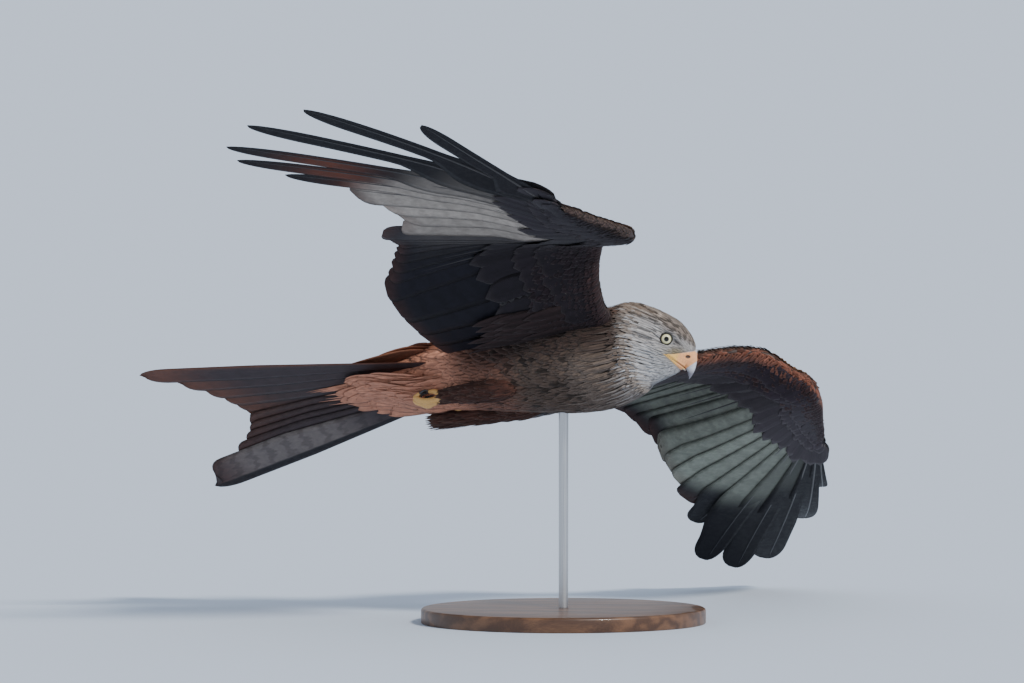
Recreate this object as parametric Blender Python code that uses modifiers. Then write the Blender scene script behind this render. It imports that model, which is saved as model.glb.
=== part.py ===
# Red kite in flight, a life-size still model on a plain display stand.
# The bird is built in its own frame: X towards the bill, Y towards its left wing, Z up out of its back,
# with the origin midway between its shoulders. A parent empty then banks it over the stand.
# Metres, +Z up, origin at the middle of the base's underside.
import bpy
import bmesh
import numpy as np
from math import cos, radians, sin, tan
from mathutils import Vector

for oldObject in list(bpy.data.objects):
    bpy.data.objects.remove(oldObject)

# Stand and attitude
gap = 0.0003
mergeStep = 0.00002
shoulderPlace = (0.054, -0.015, 0.300)
headingTurn = radians(26)
bankTilt = radians(26)
baseRadius = 0.150
baseThick = 0.016
baseRound = 0.003
baseSides = 48
rodRadius = 0.005
rodSides = 24

# Trunk stations from the vent forward: distance ahead of the shoulders, half width, half height, level
trunkStations = (
    (-0.215, 0.041, 0.033, -0.004),
    (-0.190, 0.044, 0.037, -0.005),
    (-0.165, 0.045, 0.0395, -0.0075),
    (-0.130, 0.047, 0.041, -0.014),
    (-0.090, 0.051, 0.045, -0.018),
    (-0.050, 0.057, 0.050, -0.020),
    (-0.020, 0.0575, 0.052, -0.020),
    (0.010, 0.052, 0.050, -0.018),
    (0.0240, 0.0475, 0.0485, -0.0148),
)
neckStart = 7
trunkSides = 24
ringSteps = 2

# Head frame: midway between the eyes, looking down and to the bird's left
eyeMiddle = np.array((0.055, 0.012, -0.006))
headForward = np.array((0.639, 0.560, -0.525))
headUp = np.array((0.653, -0.038, 0.755))
headLeft = np.array((-0.4035, 0.827, 0.391))

# Head stations in millimetres of the head frame: top point, bottom point, half width
headStations = (
    ((-24.0, 20.4), (14.0, -50.0), 24.5),
    ((-10.0, 22.6), (17.8, -43.0), 19.5),
    ((1.0, 23.0), (21.5, -36.5), 17.2),
    ((12.0, 20.4), (24.5, -31.0), 14.6),
    ((20.9, 16.8), (27.5, -25.6), 12.4),
    ((27.1, 12.6), (29.6, -21.0), 10.6),
    ((31.0, 9.2), (30.8, -18.3), 9.2),
)
# Upper bill with its cere, and lower bill: top point, bottom point, half width
upperBillStations = (
    ((31.4, 9.0), (25.4, -13.7), 9.3),
    ((33.4, 6.6), (29.4, -13.4), 8.4),
    ((35.6, 3.4), (32.2, -13.5), 7.2),
    ((39.0, -1.6), (34.8, -14.5), 5.6),
    ((41.5, -7.4), (36.9, -15.9), 4.2),
    ((42.7, -12.0), (38.8, -17.6), 3.0),
    ((43.0, -15.5), (40.5, -19.1), 2.0),
    ((43.0, -19.0), (41.9, -20.8), 1.0),
    ((42.8, -21.3), (42.5, -21.5), 0.3),
)
lowerBillStations = (
    ((24.9, -14.2), (24.4, -17.2), 8.8),
    ((28.0, -14.0), (28.0, -17.2), 7.8),
    ((31.0, -14.1), (30.8, -16.9), 6.2),
    ((33.2, -14.8), (32.9, -16.5), 4.2),
    ((34.6, -15.6), (34.4, -16.3), 2.0),
)
billSides = 12
eyeRadius = 0.0085
eyeOut = 0.0103
eyeAim = radians(12)
lidRadius = 0.0068
lidThick = 0.0013
lidOut = 0.0050
lidSteps = 14
lidSides = 5
browPlace = (0.003, 0.0142, 0.0088)
browSizes = (0.0022, 0.0030, 0.0095)
nostrilPlace = (0.0294, 0.0075, -0.0030)
nostrilSizes = (0.0011, 0.0030, 0.0022)
billSeatOutline = ((33.3, 18.0), (24.0, -17.5), (48.0, -17.5), (48.0, 18.0))
billSeatHalf = 24.0
gapeStart = (5.4, 17.0)
gapeEnd = (27.0, 10.2)
gapeLevel = -0.0141

# Wings, in a wing frame: X towards the bill, Y out from the body, Z up
shoulder = np.array((0.0, 0.045))
elbow = np.array((0.0, 0.162))
handLength = 0.110
archSlope = 0.35
vaneThick = 0.0005
armTilt = tan(radians(6))
handTilt = tan(radians(7))
handStep = 0.0003
handDrop = 0.0015
primaryLengths = (0.236, 0.245, 0.261, 0.290, 0.330, 0.376, 0.386, 0.376, 0.342, 0.245)
secondaryCount = 12
tertialCount = 4
bowRate = 0.10
covertStart = 0.004
covertLengths = {"arm": 0.078, "hand": 0.085, "last": 0.060}
covertLevels = {"top": 0.0030, "low": -0.0034}
# Wing flesh stations: leading edge, rear edge and thickness out along the arm
armStations = (
    ((0.026, 0.012), (-0.100, 0.012), 0.024),
    ((0.020, 0.048), (-0.102, 0.048), 0.023),
    ((0.030, 0.098), (-0.088, 0.102), 0.020),
    ((0.068, 0.158), (-0.048, 0.160), 0.017),
    ((0.110, 0.205), (0.018, 0.207), 0.014),
)
wristThick = 0.012
wristAhead = 0.006
wristRear = 0.050
# Out along the hand's bone: share of it, depth behind, degrees that the depth is swung, thickness, level
handStations = (
    (0.30, 0.040, 38, 0.011, -0.0008),
    (0.60, 0.032, 50, 0.0095, -0.0015),
    (0.88, 0.022, 58, 0.008, -0.0022),
    (1.06, 0.008, 62, 0.004, -0.0028),
)
# Fullness of the flesh by share of the way back from the leading edge
fleshProfile = ((0.0, 0.0), (0.07, 0.60), (0.30, 1.0), (0.66, 0.86), (1.0, 0.45))
alulaLengths = (0.085, 0.070, 0.056)
alulaLevel = 0.0042
alulaStep = 0.0009
alulaSpacing = (0.012, 0.0)
wings = {
    "right": {
        "side": -1, "wrist": np.array((0.133, 0.229)), "handAngle": 72.0, "rise": 0.030,
        "arch": (0.046, 0.167, 0.075, 0.075),
        "primaryAngles": (27.0, 30.5, 33.5, 36.5, 39.0, 41.5, 45.0, 53.0, 64.0, 80.5),
        "secondaryAngles": (25.0, 4.0), "lifts": {9: (0.15, -0.10, 0.15), 10: (0.05, -0.45, 0.90)},
        "fingers": (0.62, 0.55, 0.52, 0.50, 0.47, 0.40), "fingerWidths": (0.0080, 0.0130),
    },
    "left": {
        "side": 1, "wrist": np.array((0.130, 0.222)), "handAngle": 66.0, "rise": 0.0,
        "arch": (0.038, 0.210, 0.090, 0.045),
        "primaryAngles": (22.0, 26.5, 31.5, 37.0, 42.0, 46.5, 52.0, 57.0, 62.5, 67.0),
        "secondaryAngles": (20.0, 4.0),
        "lifts": {6: (0.19, -0.50, 0.0), 7: (0.20, -0.40, 0.0), 9: (0.16, 1.1, 0.0), 10: (0.10, 2.3, 0.0)},
        "fingers": (0.86, 0.86, 0.84, 0.80, 0.60, 0.44), "fingerWidths": (0.0125, 0.0240),
    },
}

# Tail
tailPivot = np.array((-0.165, 0.0))
tailLevel = -0.005
tailDroop = tan(radians(4))
tailRoll = tan(radians(4))
tailFan = (-24.5, 11.0)
tailStep = 0.0009
rectrixLengths = (0.255, 0.262, 0.272, 0.288, 0.312, 0.352)
rectrixSpread = 0.024
rectrixTop = 0.0022
rectrixStart = 0.050
rectrixMedial = 0.028
rectrixMiddle = 0.012
rectrixLateral = 0.0135
outerExtra = 0.012
tailCovertCount = 6
tailCovertStart = 0.062
tailCovertFan = 13.0
tailCovertLateral = 0.010
tailCovertLevels = {"over": 0.0052, "under": -0.0078}
tailCovertLengths = {"over": 0.160, "under": 0.180}
tailStub = (
    (-0.2080, 0.0400, 0.0320, -0.004),
    (-0.240, 0.040, 0.0235, -0.006),
    (-0.270, 0.037, 0.0120, -0.010),
    (-0.300, 0.028, 0.0040, -0.013),
)

# Legs, mirrored on both sides: distance ahead of the shoulders, out from the middle, level, half sizes
thighStations = (
    (-0.092, 0.0280, -0.0440, 0.0070, 0.0080),
    (-0.105, 0.0285, -0.0455, 0.0135, 0.0125),
    (-0.125, 0.0290, -0.0450, 0.0145, 0.0125),
    (-0.145, 0.0290, -0.0435, 0.0115, 0.0105),
    (-0.162, 0.029, -0.0425, 0.0085, 0.0085),
)
tarsusRoute = ((-0.1625, 0.029, -0.0430), (-0.176, 0.0295, -0.0440), (-0.190, 0.030, -0.0440))
tarsusRadius = 0.0040
ankleSizes = (0.0058, 0.0058, 0.0052)
toeRadius = 0.0033
toeSpread = (-0.0075, 0.0, 0.0075)
toeStretch = (0.90, 1.0, 0.86)
toeCurl = ((0.0, 0.0), (-0.011, -0.0020), (-0.021, 0.0005), (-0.026, 0.0065), (-0.023, 0.0110))
toeTaper = (1.1, 1.0, 0.95, 0.8, 0.6)
clawRoute = ((-0.0005, 0, -0.0015), (0.0045, 0, 0.0022), (0.0095, 0, 0.0020))
clawRadii = (0.0018, 0.0012, 0.0003)
hindRoute = ((0, 0, 0.001), (-0.004, 0.001, 0.0075), (-0.0125, 0.001, 0.0095))
hindTaper = (1.0, 0.9, 0.6)


def makeObject(name, points, faces, mirror=1):
    """One closed mesh object, its faces turned outwards."""
    mesh = bpy.data.meshes.new(name)
    places = np.array(points, dtype=float) * (1, mirror, 1)
    mesh.from_pydata([tuple(place) for place in places], [], [tuple(face) for face in faces])
    body = bmesh.new()
    body.from_mesh(mesh)
    bmesh.ops.recalc_face_normals(body, faces=body.faces)
    body.to_mesh(mesh)
    body.free()
    made = bpy.data.objects.new(name, mesh)
    birdCollection.objects.link(made)
    return made


def loft(rings):
    """Skin over closed rings of equal point counts, with a fan of triangles on each end."""
    rings = np.array(rings)
    count, sides = rings.shape[:2]
    points = list(rings.reshape(-1, 3)) + [rings[0].mean(axis=0), rings[-1].mean(axis=0)]
    faces = []
    for row in range(count - 1):
        for side in range(sides):
            here = row * sides + side
            beside = row * sides + (side + 1) % sides
            faces += [(here, beside, beside + sides), (here, beside + sides, here + sides)]
    last = (count - 1) * sides
    for side in range(sides):
        beside = (side + 1) % sides
        faces += [(beside, side, count * sides), (last + side, last + beside, count * sides + 1)]
    return points, faces


def smoothRings(rings, steps):
    """Cubic curves through matching points of the rings, read at some steps between each pair."""
    rings = np.array(rings)
    spans = np.linalg.norm(np.diff(rings, axis=0), axis=2).mean(axis=1)
    slopes = np.diff(rings, axis=0) / spans[:, None, None]
    tangents = np.concatenate([slopes[:1], slopes])
    for row in range(1, len(rings) - 1):
        before, after = spans[row - 1], spans[row]
        tangents[row] = (slopes[row] * before + slopes[row - 1] * after) / (before + after)
    out = []
    for row in range(len(rings) - 1):
        span = spans[row]
        for step in range(steps):
            t = step / steps
            places = rings[row] * (2 * t**3 - 3 * t**2 + 1) + rings[row + 1] * (3 * t**2 - 2 * t**3)
            bends = tangents[row] * (t**3 - 2 * t**2 + t) + tangents[row + 1] * (t**3 - t**2)
            out.append(places + bends * span)
    out.append(rings[-1])
    return np.array(out)


def ovalRing(centre, lateral, upward, halfWidth, topReach, lowReach, sides):
    """Closed ring of points from the top round by the left."""
    turn = np.arange(sides) * 2 * np.pi / sides
    reach = np.where(np.cos(turn) > 0, topReach, lowReach)
    across = np.outer(np.sin(turn) * halfWidth, lateral)
    return np.array(centre) + across + np.outer(np.cos(turn) * reach, upward)


def headPoint(x, z, y=0.0):
    """A place given in millimetres of the head frame, in the bird's frame."""
    return eyeMiddle + (x * headForward + y * headLeft + z * headUp) / 1000


def headRing(top, bottom, halfWidth, sides, lateral=headLeft, widest=0.45):
    topPlace, lowPlace = headPoint(*top), headPoint(*bottom)
    height = np.linalg.norm(topPlace - lowPlace)
    upward = (topPlace - lowPlace) / height
    centre = topPlace + (lowPlace - topPlace) * widest
    return ovalRing(centre, lateral, upward, halfWidth / 1000, height * widest, height * (1 - widest), sides)


def fleshRings(extra=0.0):
    """Rings of trunk, neck and head in one run, from the vent to the bill."""
    rings = []
    for ahead, halfWidth, halfHeight, level in trunkStations:
        wide, high = halfWidth + extra, halfHeight + extra
        rings.append(ovalRing((ahead, 0, level), (0, 1, 0), (0, 0, 1), wide, high, high, trunkSides))
    for index, (top, bottom, halfWidth) in enumerate(headStations):
        lateral = headLeft if index else (headLeft + (0, 1, 0)) / np.linalg.norm(headLeft + (0, 1, 0))
        rings.append(headRing(top, bottom, halfWidth + extra * 1000, trunkSides, lateral))
    return np.array(rings)


def shifted(ring, distance):
    """The ring moved along its own normal, which points the way the rings run."""
    quarter = len(ring) // 4
    normal = np.cross(ring[quarter] - ring[3 * quarter], ring[0] - ring[2 * quarter])
    return ring + normal / np.linalg.norm(normal) * distance


def evaluated(made):
    """The object's mesh with its modifiers, welded and split into triangles."""
    bpy.context.view_layer.update()
    graph = bpy.context.evaluated_depsgraph_get()
    mesh = bpy.data.meshes.new_from_object(made.evaluated_get(graph))
    body = bmesh.new()
    body.from_mesh(mesh)
    bmesh.ops.remove_doubles(body, verts=body.verts, dist=mergeStep)
    bmesh.ops.dissolve_degenerate(body, edges=body.edges, dist=mergeStep)
    bmesh.ops.triangulate(body, faces=body.faces)
    return mesh, body


def largestShell(body):
    """Delete every face outside the closed surface of largest area."""
    unseen = set(body.faces)
    shells = []
    while unseen:
        front = [unseen.pop()]
        shell = []
        while front:
            face = front.pop()
            shell.append(face)
            for edge in face.edges:
                for other in edge.link_faces:
                    if other in unseen:
                        unseen.remove(other)
                        front.append(other)
        shells.append(shell)
    shells.sort(key=lambda shell: sum(face.calc_area() for face in shell))
    scraps = [face for shell in shells[:-1] for face in shell]
    bmesh.ops.delete(body, geom=scraps, context="FACES")
    loose = [vert for vert in body.verts if not vert.link_faces]
    bmesh.ops.delete(body, geom=loose, context="VERTS")


def combine(made, pieces, operation):
    """One Boolean on a collection of closed meshes, applied, with the collection's objects removed."""
    group = bpy.data.collections.new(made.name + "_pieces")
    bpy.context.scene.collection.children.link(group)
    for piece in pieces:
        group.objects.link(piece)
        birdCollection.objects.unlink(piece)
    change = made.modifiers.new(operation.lower(), "BOOLEAN")
    change.operation = operation
    change.operand_type = "COLLECTION"
    change.collection = group
    # The second solver is used where the first leaves an edge with more than two faces
    for solver in ("EXACT", "MANIFOLD"):
        change.solver = solver
        mesh, body = evaluated(made)
        if all(edge.is_manifold for edge in body.edges):
            break
    made.modifiers.clear()
    largestShell(body)
    body.to_mesh(mesh)
    body.free()
    made.data = mesh
    for piece in pieces:
        bpy.data.objects.remove(piece)
    bpy.data.collections.remove(group)


def ball(name, centre, sizes, columns=20, rows=12, axis=None):
    """A sphere primitive, stretched by sizes, its pole along the axis."""
    mesh = bpy.data.meshes.new(name)
    body = bmesh.new()
    bmesh.ops.create_uvsphere(body, u_segments=columns, v_segments=rows, radius=1.0)
    bmesh.ops.scale(body, vec=sizes, verts=body.verts)
    if axis is not None:
        turn = Vector((0, 0, 1)).rotation_difference(Vector(axis)).to_matrix()
        bmesh.ops.rotate(body, cent=(0, 0, 0), matrix=turn, verts=body.verts)
    bmesh.ops.translate(body, vec=Vector(centre), verts=body.verts)
    bmesh.ops.triangulate(body, faces=body.faces)
    body.to_mesh(mesh)
    body.free()
    made = bpy.data.objects.new(name, mesh)
    birdCollection.objects.link(made)
    return made


def tube(route, radii, sides=8):
    """Closed tube along a route, its radius given at each point."""
    route = np.array(route)
    rings = []
    for index, place in enumerate(route):
        ahead = route[min(index + 1, len(route) - 1)] - route[max(index - 1, 0)]
        ahead = ahead / np.linalg.norm(ahead)
        across = np.cross(ahead, (0.1, 1.0, 0.2))
        across = across / np.linalg.norm(across)
        above = np.cross(across, ahead)
        rings.append(ovalRing(place, across, above, radii[index], radii[index], radii[index], sides))
    return loft(rings)


# Wings

def sheetHeight(wing, ahead, out):
    """Level of the wing's sheet: a bell-shaped arch along the arm, then a straight rise to the tip."""
    height, middle, innerWidth, outerWidth = wing["arch"]
    beside = out - middle + archSlope * ahead
    bell = np.exp(-((beside / np.where(beside < 0, innerWidth, outerWidth)) ** 2))
    beyond = np.maximum(0, out - 0.25 - 0.9 * np.maximum(ahead, 0))
    return height * bell + wing["rise"] * (1 - np.exp(-beyond / 0.13))


def wingFeathers(wing):
    """Flight feathers from the innermost tertial out to the last primary, each a dictionary."""
    wrist = wing["wrist"]
    feathers = []
    for index in range(tertialCount):
        share = (index + 1.2) / (tertialCount + 0.8)
        root = shoulder + (elbow - shoulder) * share
        feathers.append({"root": root, "angle": -3.0 + 6.5 * share, "length": 0.185 + 0.015 * share})
    first, last = wing["secondaryAngles"]
    for index in range(secondaryCount):
        share = (index + 0.5) / secondaryCount
        root = elbow + (wrist - elbow) * share
        angle = last + (first - last) * share**1.2
        length = 0.202 + 0.048 * share - 0.04 * share * (1 - share)
        feathers.append({"root": root, "angle": angle, "length": length})
    for feather in feathers:
        feather.update(stack=0.0, tilt=armTilt, finger=None, lift=None, group="arm")
    handTurn = radians(wing["handAngle"])
    reach = np.array((-cos(handTurn), sin(handTurn))) * handLength
    for index in range(10):
        root = wrist + reach * (0.1 + 0.1 * index)
        finger = None if index < 4 else wing["fingers"][index - 4]
        feathers.append({
            "root": root, "angle": wing["primaryAngles"][index], "length": primaryLengths[index],
            "stack": -handDrop - handStep * index, "tilt": handTilt, "group": "hand",
            "finger": finger, "widths": wing["fingerWidths"], "lift": wing["lifts"].get(index + 1),
        })
    for feather in feathers:
        turn = radians(feather["angle"])
        feather["along"] = np.array((-cos(turn), sin(turn)))
        feather["across"] = np.array((sin(turn), cos(turn)))
    for index, feather in enumerate(feathers):
        inner = feathers[max(index - 1, 0)]
        outer = feathers[min(index + 1, len(feathers) - 1)]
        between = 1 if inner is feather or outer is feather else 2
        start = abs(np.dot(outer["root"] - inner["root"], feather["across"])) / between
        spread = sin(radians(abs(outer["angle"] - inner["angle"]))) / between
        feather["spacing"] = (start, spread)
    return feathers


def vaneShares(feather, covert):
    """Where along its length a vane has its stations."""
    finger = feather["finger"]
    if covert:
        return (0.0, 0.45, 0.85, 1.0)
    if finger is None:
        return (0.0, 0.5, 0.84, 0.95, 1.0)
    if finger > 0.72:
        return (0.0, 0.2, 0.5, 0.72, 0.86, 0.95, 1.0)
    return (0.0, 0.2, finger - 0.12, finger + 0.04, 0.82, 0.95, 1.0)


def vaneShape(feather, length, covert):
    """Stations along one vane: distance from the root, leading half width, trailing half width."""
    start, spread = feather["spacing"]
    leadShare, trailShare = (0.75, 1.5) if covert else (0.50, 1.42)
    bare, opening = (0.015, 0.03) if covert else (0.020, 0.050)
    rows = []
    for share in vaneShares(feather, covert):
        reach = share * length
        room = max(start + spread * reach, 0.006)
        grow = min(1.0, max(0.0, (reach - bare) / opening))
        lead = min(leadShare * room, 0.013) * (0.35 + 0.65 * grow)
        trail = min(trailShare * room, 0.034) * (0.35 + 0.65 * grow)
        if feather["finger"] and not covert:
            narrow = min(1.0, max(0.0, (share - feather["finger"] + 0.12) / 0.16))
            lead += (min(lead, feather["widths"][0]) - lead) * narrow
            trail += (min(trail, feather["widths"][1]) - trail) * narrow
        tip = (1.0 - max(0.0, (share - 0.80) / 0.20) ** 2.2) ** 0.5 if share < 1 else 0.12
        rows.append((reach, lead * tip, trail * tip))
    return rows


def wingVane(name, wing, feather, length, level, covert=False, startAt=0.0, turn=0.0):
    """A thin vane that lies on the wing's sheet like one slat of a blind, its leading edge higher."""
    rings = []
    angle = radians(feather["angle"] + turn)
    along = np.array((-cos(angle), sin(angle)))
    across = np.array((sin(angle), cos(angle)))
    for reach, lead, trail in vaneShape(feather, length, covert):
        middle = feather["root"] + along * (reach + startAt)
        bow = bowRate * reach * (length - reach) if not covert else 0.0
        middle = middle + across * bow
        lift = 0.0
        if feather["lift"]:
            start, strength, sag = feather["lift"]
            lift = strength * max(0.0, reach - start) ** 2 - sag * reach * (length - reach)
        half = vaneThick / 2 if reach < length * 0.99 else vaneThick / 3
        edges = []
        for side in (-trail, lead):
            place = middle + across * side
            height = sheetHeight(wing, *place) + feather["stack"] + level + lift + feather["tilt"] * side
            edges.append((place[0], place[1], height))
        (trailF, trailL, trailU), (leadF, leadL, leadU) = edges
        rings.append(((trailF, trailL, trailU + half), (leadF, leadL, leadU + half),
                      (leadF, leadL, leadU - half), (trailF, trailL, trailU - half)))
    points = np.array(rings).reshape(-1, 3)
    faces = [(0, 1, 2), (0, 2, 3)]
    for row in range(len(rings) - 1):
        a, b = row * 4, row * 4 + 4
        faces += [(a, a + 1, b + 1), (a, b + 1, b), (a + 2, a + 3, b + 2), (a + 3, b + 3, b + 2)]
        faces += [(a + 1, a + 2, b + 2), (a + 1, b + 2, b + 1), (a + 3, a, b), (a + 3, b, b + 3)]
    end = len(points) - 4
    faces += [(end, end + 2, end + 1), (end, end + 3, end + 2)]
    return makeObject(name, points, faces, wing["side"])


def coreRing(wing, front, back, thick, middleLevel, extra=0.0):
    """Section of the wing's fleshy core, thickest near its front, from the front over the top."""
    front, back = np.array(front), np.array(back)
    chord = (back - front) / np.linalg.norm(back - front)
    front, back = front - chord * extra, back + chord * extra
    ring = []
    for part in (fleshProfile, fleshProfile[:0:-1]):
        sign = 1 if part is fleshProfile else -1
        for share, fullness in part:
            place = front + (back - front) * share
            reach = sign * (thick / 2 * fullness + (extra if share else 0.0))
            ring.append((*place, sheetHeight(wing, *place) + middleLevel + reach))
    return ring


def wristCut(wing, extra):
    """The wrist section's front and rear, and the step to either side of the cut between arm and hand."""
    cut = radians(wing["secondaryAngles"][0] + 1.0)
    back = np.array((-cos(cut), sin(cut)))
    side = np.array((sin(cut), cos(cut))) * (gap / 2 - extra)
    return wing["wrist"] - back * wristAhead, wing["wrist"] + back * wristRear, side


def armCore(name, wing, extra=0.0):
    front, rear, side = wristCut(wing, extra)
    stations = armStations + ((front - side, rear - side, wristThick),)
    rings = [coreRing(wing, front, rear, thick, 0.0, extra) for front, rear, thick in stations]
    return makeObject(name, *loft(smoothRings(rings, ringSteps)), wing["side"])


def handCore(name, wing, extra=0.0):
    front, rear, side = wristCut(wing, extra)
    bone, ahead = handAxes(wing)
    rings = [coreRing(wing, front + side, rear + side, wristThick, 0.0, extra)]
    for share, depth, swing, thick, level in handStations:
        place = wing["wrist"] + bone * handLength * share
        away = radians(swing)
        front = place + ahead * min(0.006, depth * 0.5)
        rear = place + np.array((-cos(away), sin(away))) * depth
        rings.append(coreRing(wing, front, rear, thick, level, extra))
    return makeObject(name, *loft(smoothRings(rings, ringSteps)), wing["side"])


def handAxes(wing):
    """Out along the hand's bone, and square to it towards the leading edge."""
    turn = radians(wing["handAngle"])
    return np.array((-cos(turn), sin(turn))), np.array((sin(turn), cos(turn)))


def buildWing(name, wing):
    """Arm and hand of one wing, each a core with its flight feathers and its greater coverts."""
    feathers = wingFeathers(wing)
    made = {}
    for group in ("arm", "hand"):
        pieces = []
        for index, feather in enumerate(feathers):
            if feather["group"] != group:
                continue
            pieces.append(wingVane(f"{name}_vane{index}", wing, feather, feather["length"], 0.0))
            # Every other feather has a covert, so that those of arm and hand stay apart
            if index % 2 == (group == "arm"):
                continue
            covertLength = covertLengths["last" if index == len(feathers) - 1 else group]
            for tag, level in covertLevels.items():
                title = f"{name}_{tag}{index}"
                pieces.append(wingVane(title, wing, feather, covertLength, level, True, covertStart))
        if group == "hand":
            pieces += alulaVanes(name, wing, feathers)
        core = (armCore if group == "arm" else handCore)(f"wing_{name}_{group}", wing)
        combine(core, pieces, "UNION")
        made[group] = core
    trunk = trunkCutter("wing_cutter")
    combine(made["arm"], [trunk, handCore("hand_cutter", wing, gap)], "DIFFERENCE")
    combine(made["hand"], [armCore("arm_cutter", wing, gap)], "DIFFERENCE")
    return made


def alulaVanes(name, wing, feathers):
    """Three short stiff feathers on the thumb, lying along the hand's leading edge."""
    bone, ahead = handAxes(wing)
    pieces = []
    for index, length in enumerate(alulaLengths):
        feather = dict(feathers[-1], finger=None, lift=None, stack=0.0, spacing=alulaSpacing)
        feather["root"] = wing["wrist"] + bone * (0.008 + 0.006 * index) - ahead * 0.001
        feather["angle"] = wing["handAngle"] - 2.0 + 1.5 * index
        level = alulaLevel + alulaStep * index
        pieces.append(wingVane(f"{name}_alula{index}", wing, feather, length, level, True))
    return pieces


def trunkCutter(name):
    """The trunk and neck, larger all round by the gap."""
    rings = smoothRings(fleshRings(gap), ringSteps)[: ringSteps * (len(trunkStations) + 2) + 1]
    rings = np.concatenate([[shifted(rings[0], -gap)], rings])
    return makeObject(name, *loft(rings))


# Tail

def tailHeight(ahead, left):
    return tailLevel + tailDroop * (ahead - tailPivot[0]) - tailRoll * left


def tailVane(name, angle, length, level, widths, side, startAt, shares):
    """A flat vane on the tail's plane. The widths are its medial and lateral halves at its widest."""
    medial, lateral = widths
    turn = radians(angle)
    along = np.array((-cos(turn), sin(turn)))
    across = np.array((sin(turn), cos(turn))) * side
    rings = []
    for share in shares:
        reach = startAt + (length - startAt) * share
        widen = min(1.0, 0.35 + 0.65 * share / 0.6)
        tip = (1.0 - max(0.0, (share - 0.84) / 0.16) ** 2.0) ** 0.5 if share < 1 else 0.2
        middle = tailPivot + along * reach + across * rectrixSpread * abs(angle + 6) / 19
        edges = []
        for width in (-medial * widen * tip, lateral * widen * tip):
            place = middle + across * width
            edges.append((place[0], place[1], tailHeight(*place) + level))
        half = vaneThick / 2
        rings.append([(x, y, z + half) for x, y, z in edges] + [(x, y, z - half) for x, y, z in edges[::-1]])
    points = np.array(rings).reshape(-1, 3)
    faces = [(0, 1, 2), (0, 2, 3)]
    for row in range(len(rings) - 1):
        a, b = row * 4, row * 4 + 4
        faces += [(a, a + 1, b + 1), (a, b + 1, b), (a + 2, a + 3, b + 2), (a + 3, b + 3, b + 2)]
        faces += [(a + 1, a + 2, b + 2), (a + 1, b + 2, b + 1), (a + 3, a, b), (a + 3, b, b + 3)]
    end = len(points) - 4
    faces += [(end, end + 2, end + 1), (end, end + 3, end + 2)]
    return makeObject(name, points, faces)


def buildTail():
    """Twelve broad tail feathers, the middle pair on top, with coverts above and below on a short stub."""
    pieces = []
    middle = (tailFan[0] + tailFan[1]) / 2
    pitch = (tailFan[1] - tailFan[0]) / 11
    long = (0.0, 0.6, 0.85, 0.95, 1.0)
    for side in (-1, 1):
        for index, length in enumerate(rectrixLengths):
            angle = middle + side * pitch * (index + 0.5)
            level = rectrixTop - tailStep * index - (tailStep if side > 0 else 0.0)
            medial = rectrixMedial
            if side > 0 and index == 0:
                medial = rectrixMiddle
            if side > 0 and index == 5:
                length += outerExtra
            title = f"rectrix{side}_{index}"
            widths = (medial, rectrixLateral)
            pieces.append(tailVane(title, angle, length, level, widths, side, rectrixStart, long))
    short = (0.0, 0.6, 0.9, 1.0)
    for tag, level in tailCovertLevels.items():
        for index in range(tailCovertCount):
            spot = (index + 0.5) / tailCovertCount * 2 - 1
            side = -1 if spot < 0 else 1
            step = abs(spot) * 0.0018 + (0.0009 if spot > 0 else 0.0)
            height = level - step if tag == "over" else level + step
            length = tailCovertLengths[tag] - 0.02 * abs(spot)
            medial = 0.007 if side > 0 and abs(spot) < 0.3 else 0.014
            angle = middle + tailCovertFan * spot
            title = f"{tag}{index}"
            widths = (medial, tailCovertLateral)
            pieces.append(tailVane(title, angle, length, height, widths, side, tailCovertStart, short))
    rings = [ovalRing((ahead, 0, level), (0, 1, 0), (0, 0, 1), wide, high, high, 16)
             for ahead, wide, high, level in tailStub]
    tail = makeObject("tail", *loft(rings))
    combine(tail, pieces, "UNION")
    combine(tail, [trunkCutter("tail_cutter")], "DIFFERENCE")
    return tail


# Head

def buildHead():
    """Skull with lids, brows, mouth line and the seat of the bill; two eyes; upper and lower bill."""
    flesh = smoothRings(fleshRings(), ringSteps)
    seam = ringSteps * len(trunkStations)
    rings = flesh[seam:].copy()
    rings[0] = shifted(rings[0], gap)
    head = makeObject("head", *loft(rings))
    pieces = []
    sockets = []
    eyes = []
    for side, tag in ((1, "left"), (-1, "right")):
        aim = headLeft * side * cos(eyeAim) + headForward * sin(eyeAim)
        centre = eyeMiddle + headLeft * side * eyeOut
        eyes.append(ball("eye_" + tag, centre, (eyeRadius,) * 3, 14, 8, aim))
        sockets.append(ball("socket" + tag, centre, (eyeRadius + gap,) * 3, 14, 8, aim))
        pieces.append(lidRing("lid" + tag, centre + aim * lidOut, aim))
        pieces.append(ball("brow" + tag, besideHead(browPlace, side), browSizes, 8, 6, headForward))
    combine(head, pieces, "UNION")
    cutters = sockets + [billSeat("seat")]
    for side in (1, -1):
        cutters.append(mouthLine("mouth", side))
    combine(head, cutters, "DIFFERENCE")
    upper = makeObject("bill_upper", *loft([headRing(*row, billSides) for row in upperBillStations]))
    nostrils = []
    for side in (1, -1):
        place = besideHead(nostrilPlace, side)
        nostrils.append(ball("nostril", place, nostrilSizes, 8, 5, headForward + headUp * 0.5))
    combine(upper, nostrils, "DIFFERENCE")
    lower = makeObject("bill_lower", *loft([headRing(*row, billSides) for row in lowerBillStations]))
    return [head, upper, lower] + eyes


def besideHead(place, side):
    """A place in metres of the head frame, on its left for side 1 and on its right for -1."""
    x, y, z = place
    return eyeMiddle + headForward * x + headLeft * side * y + headUp * z


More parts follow.
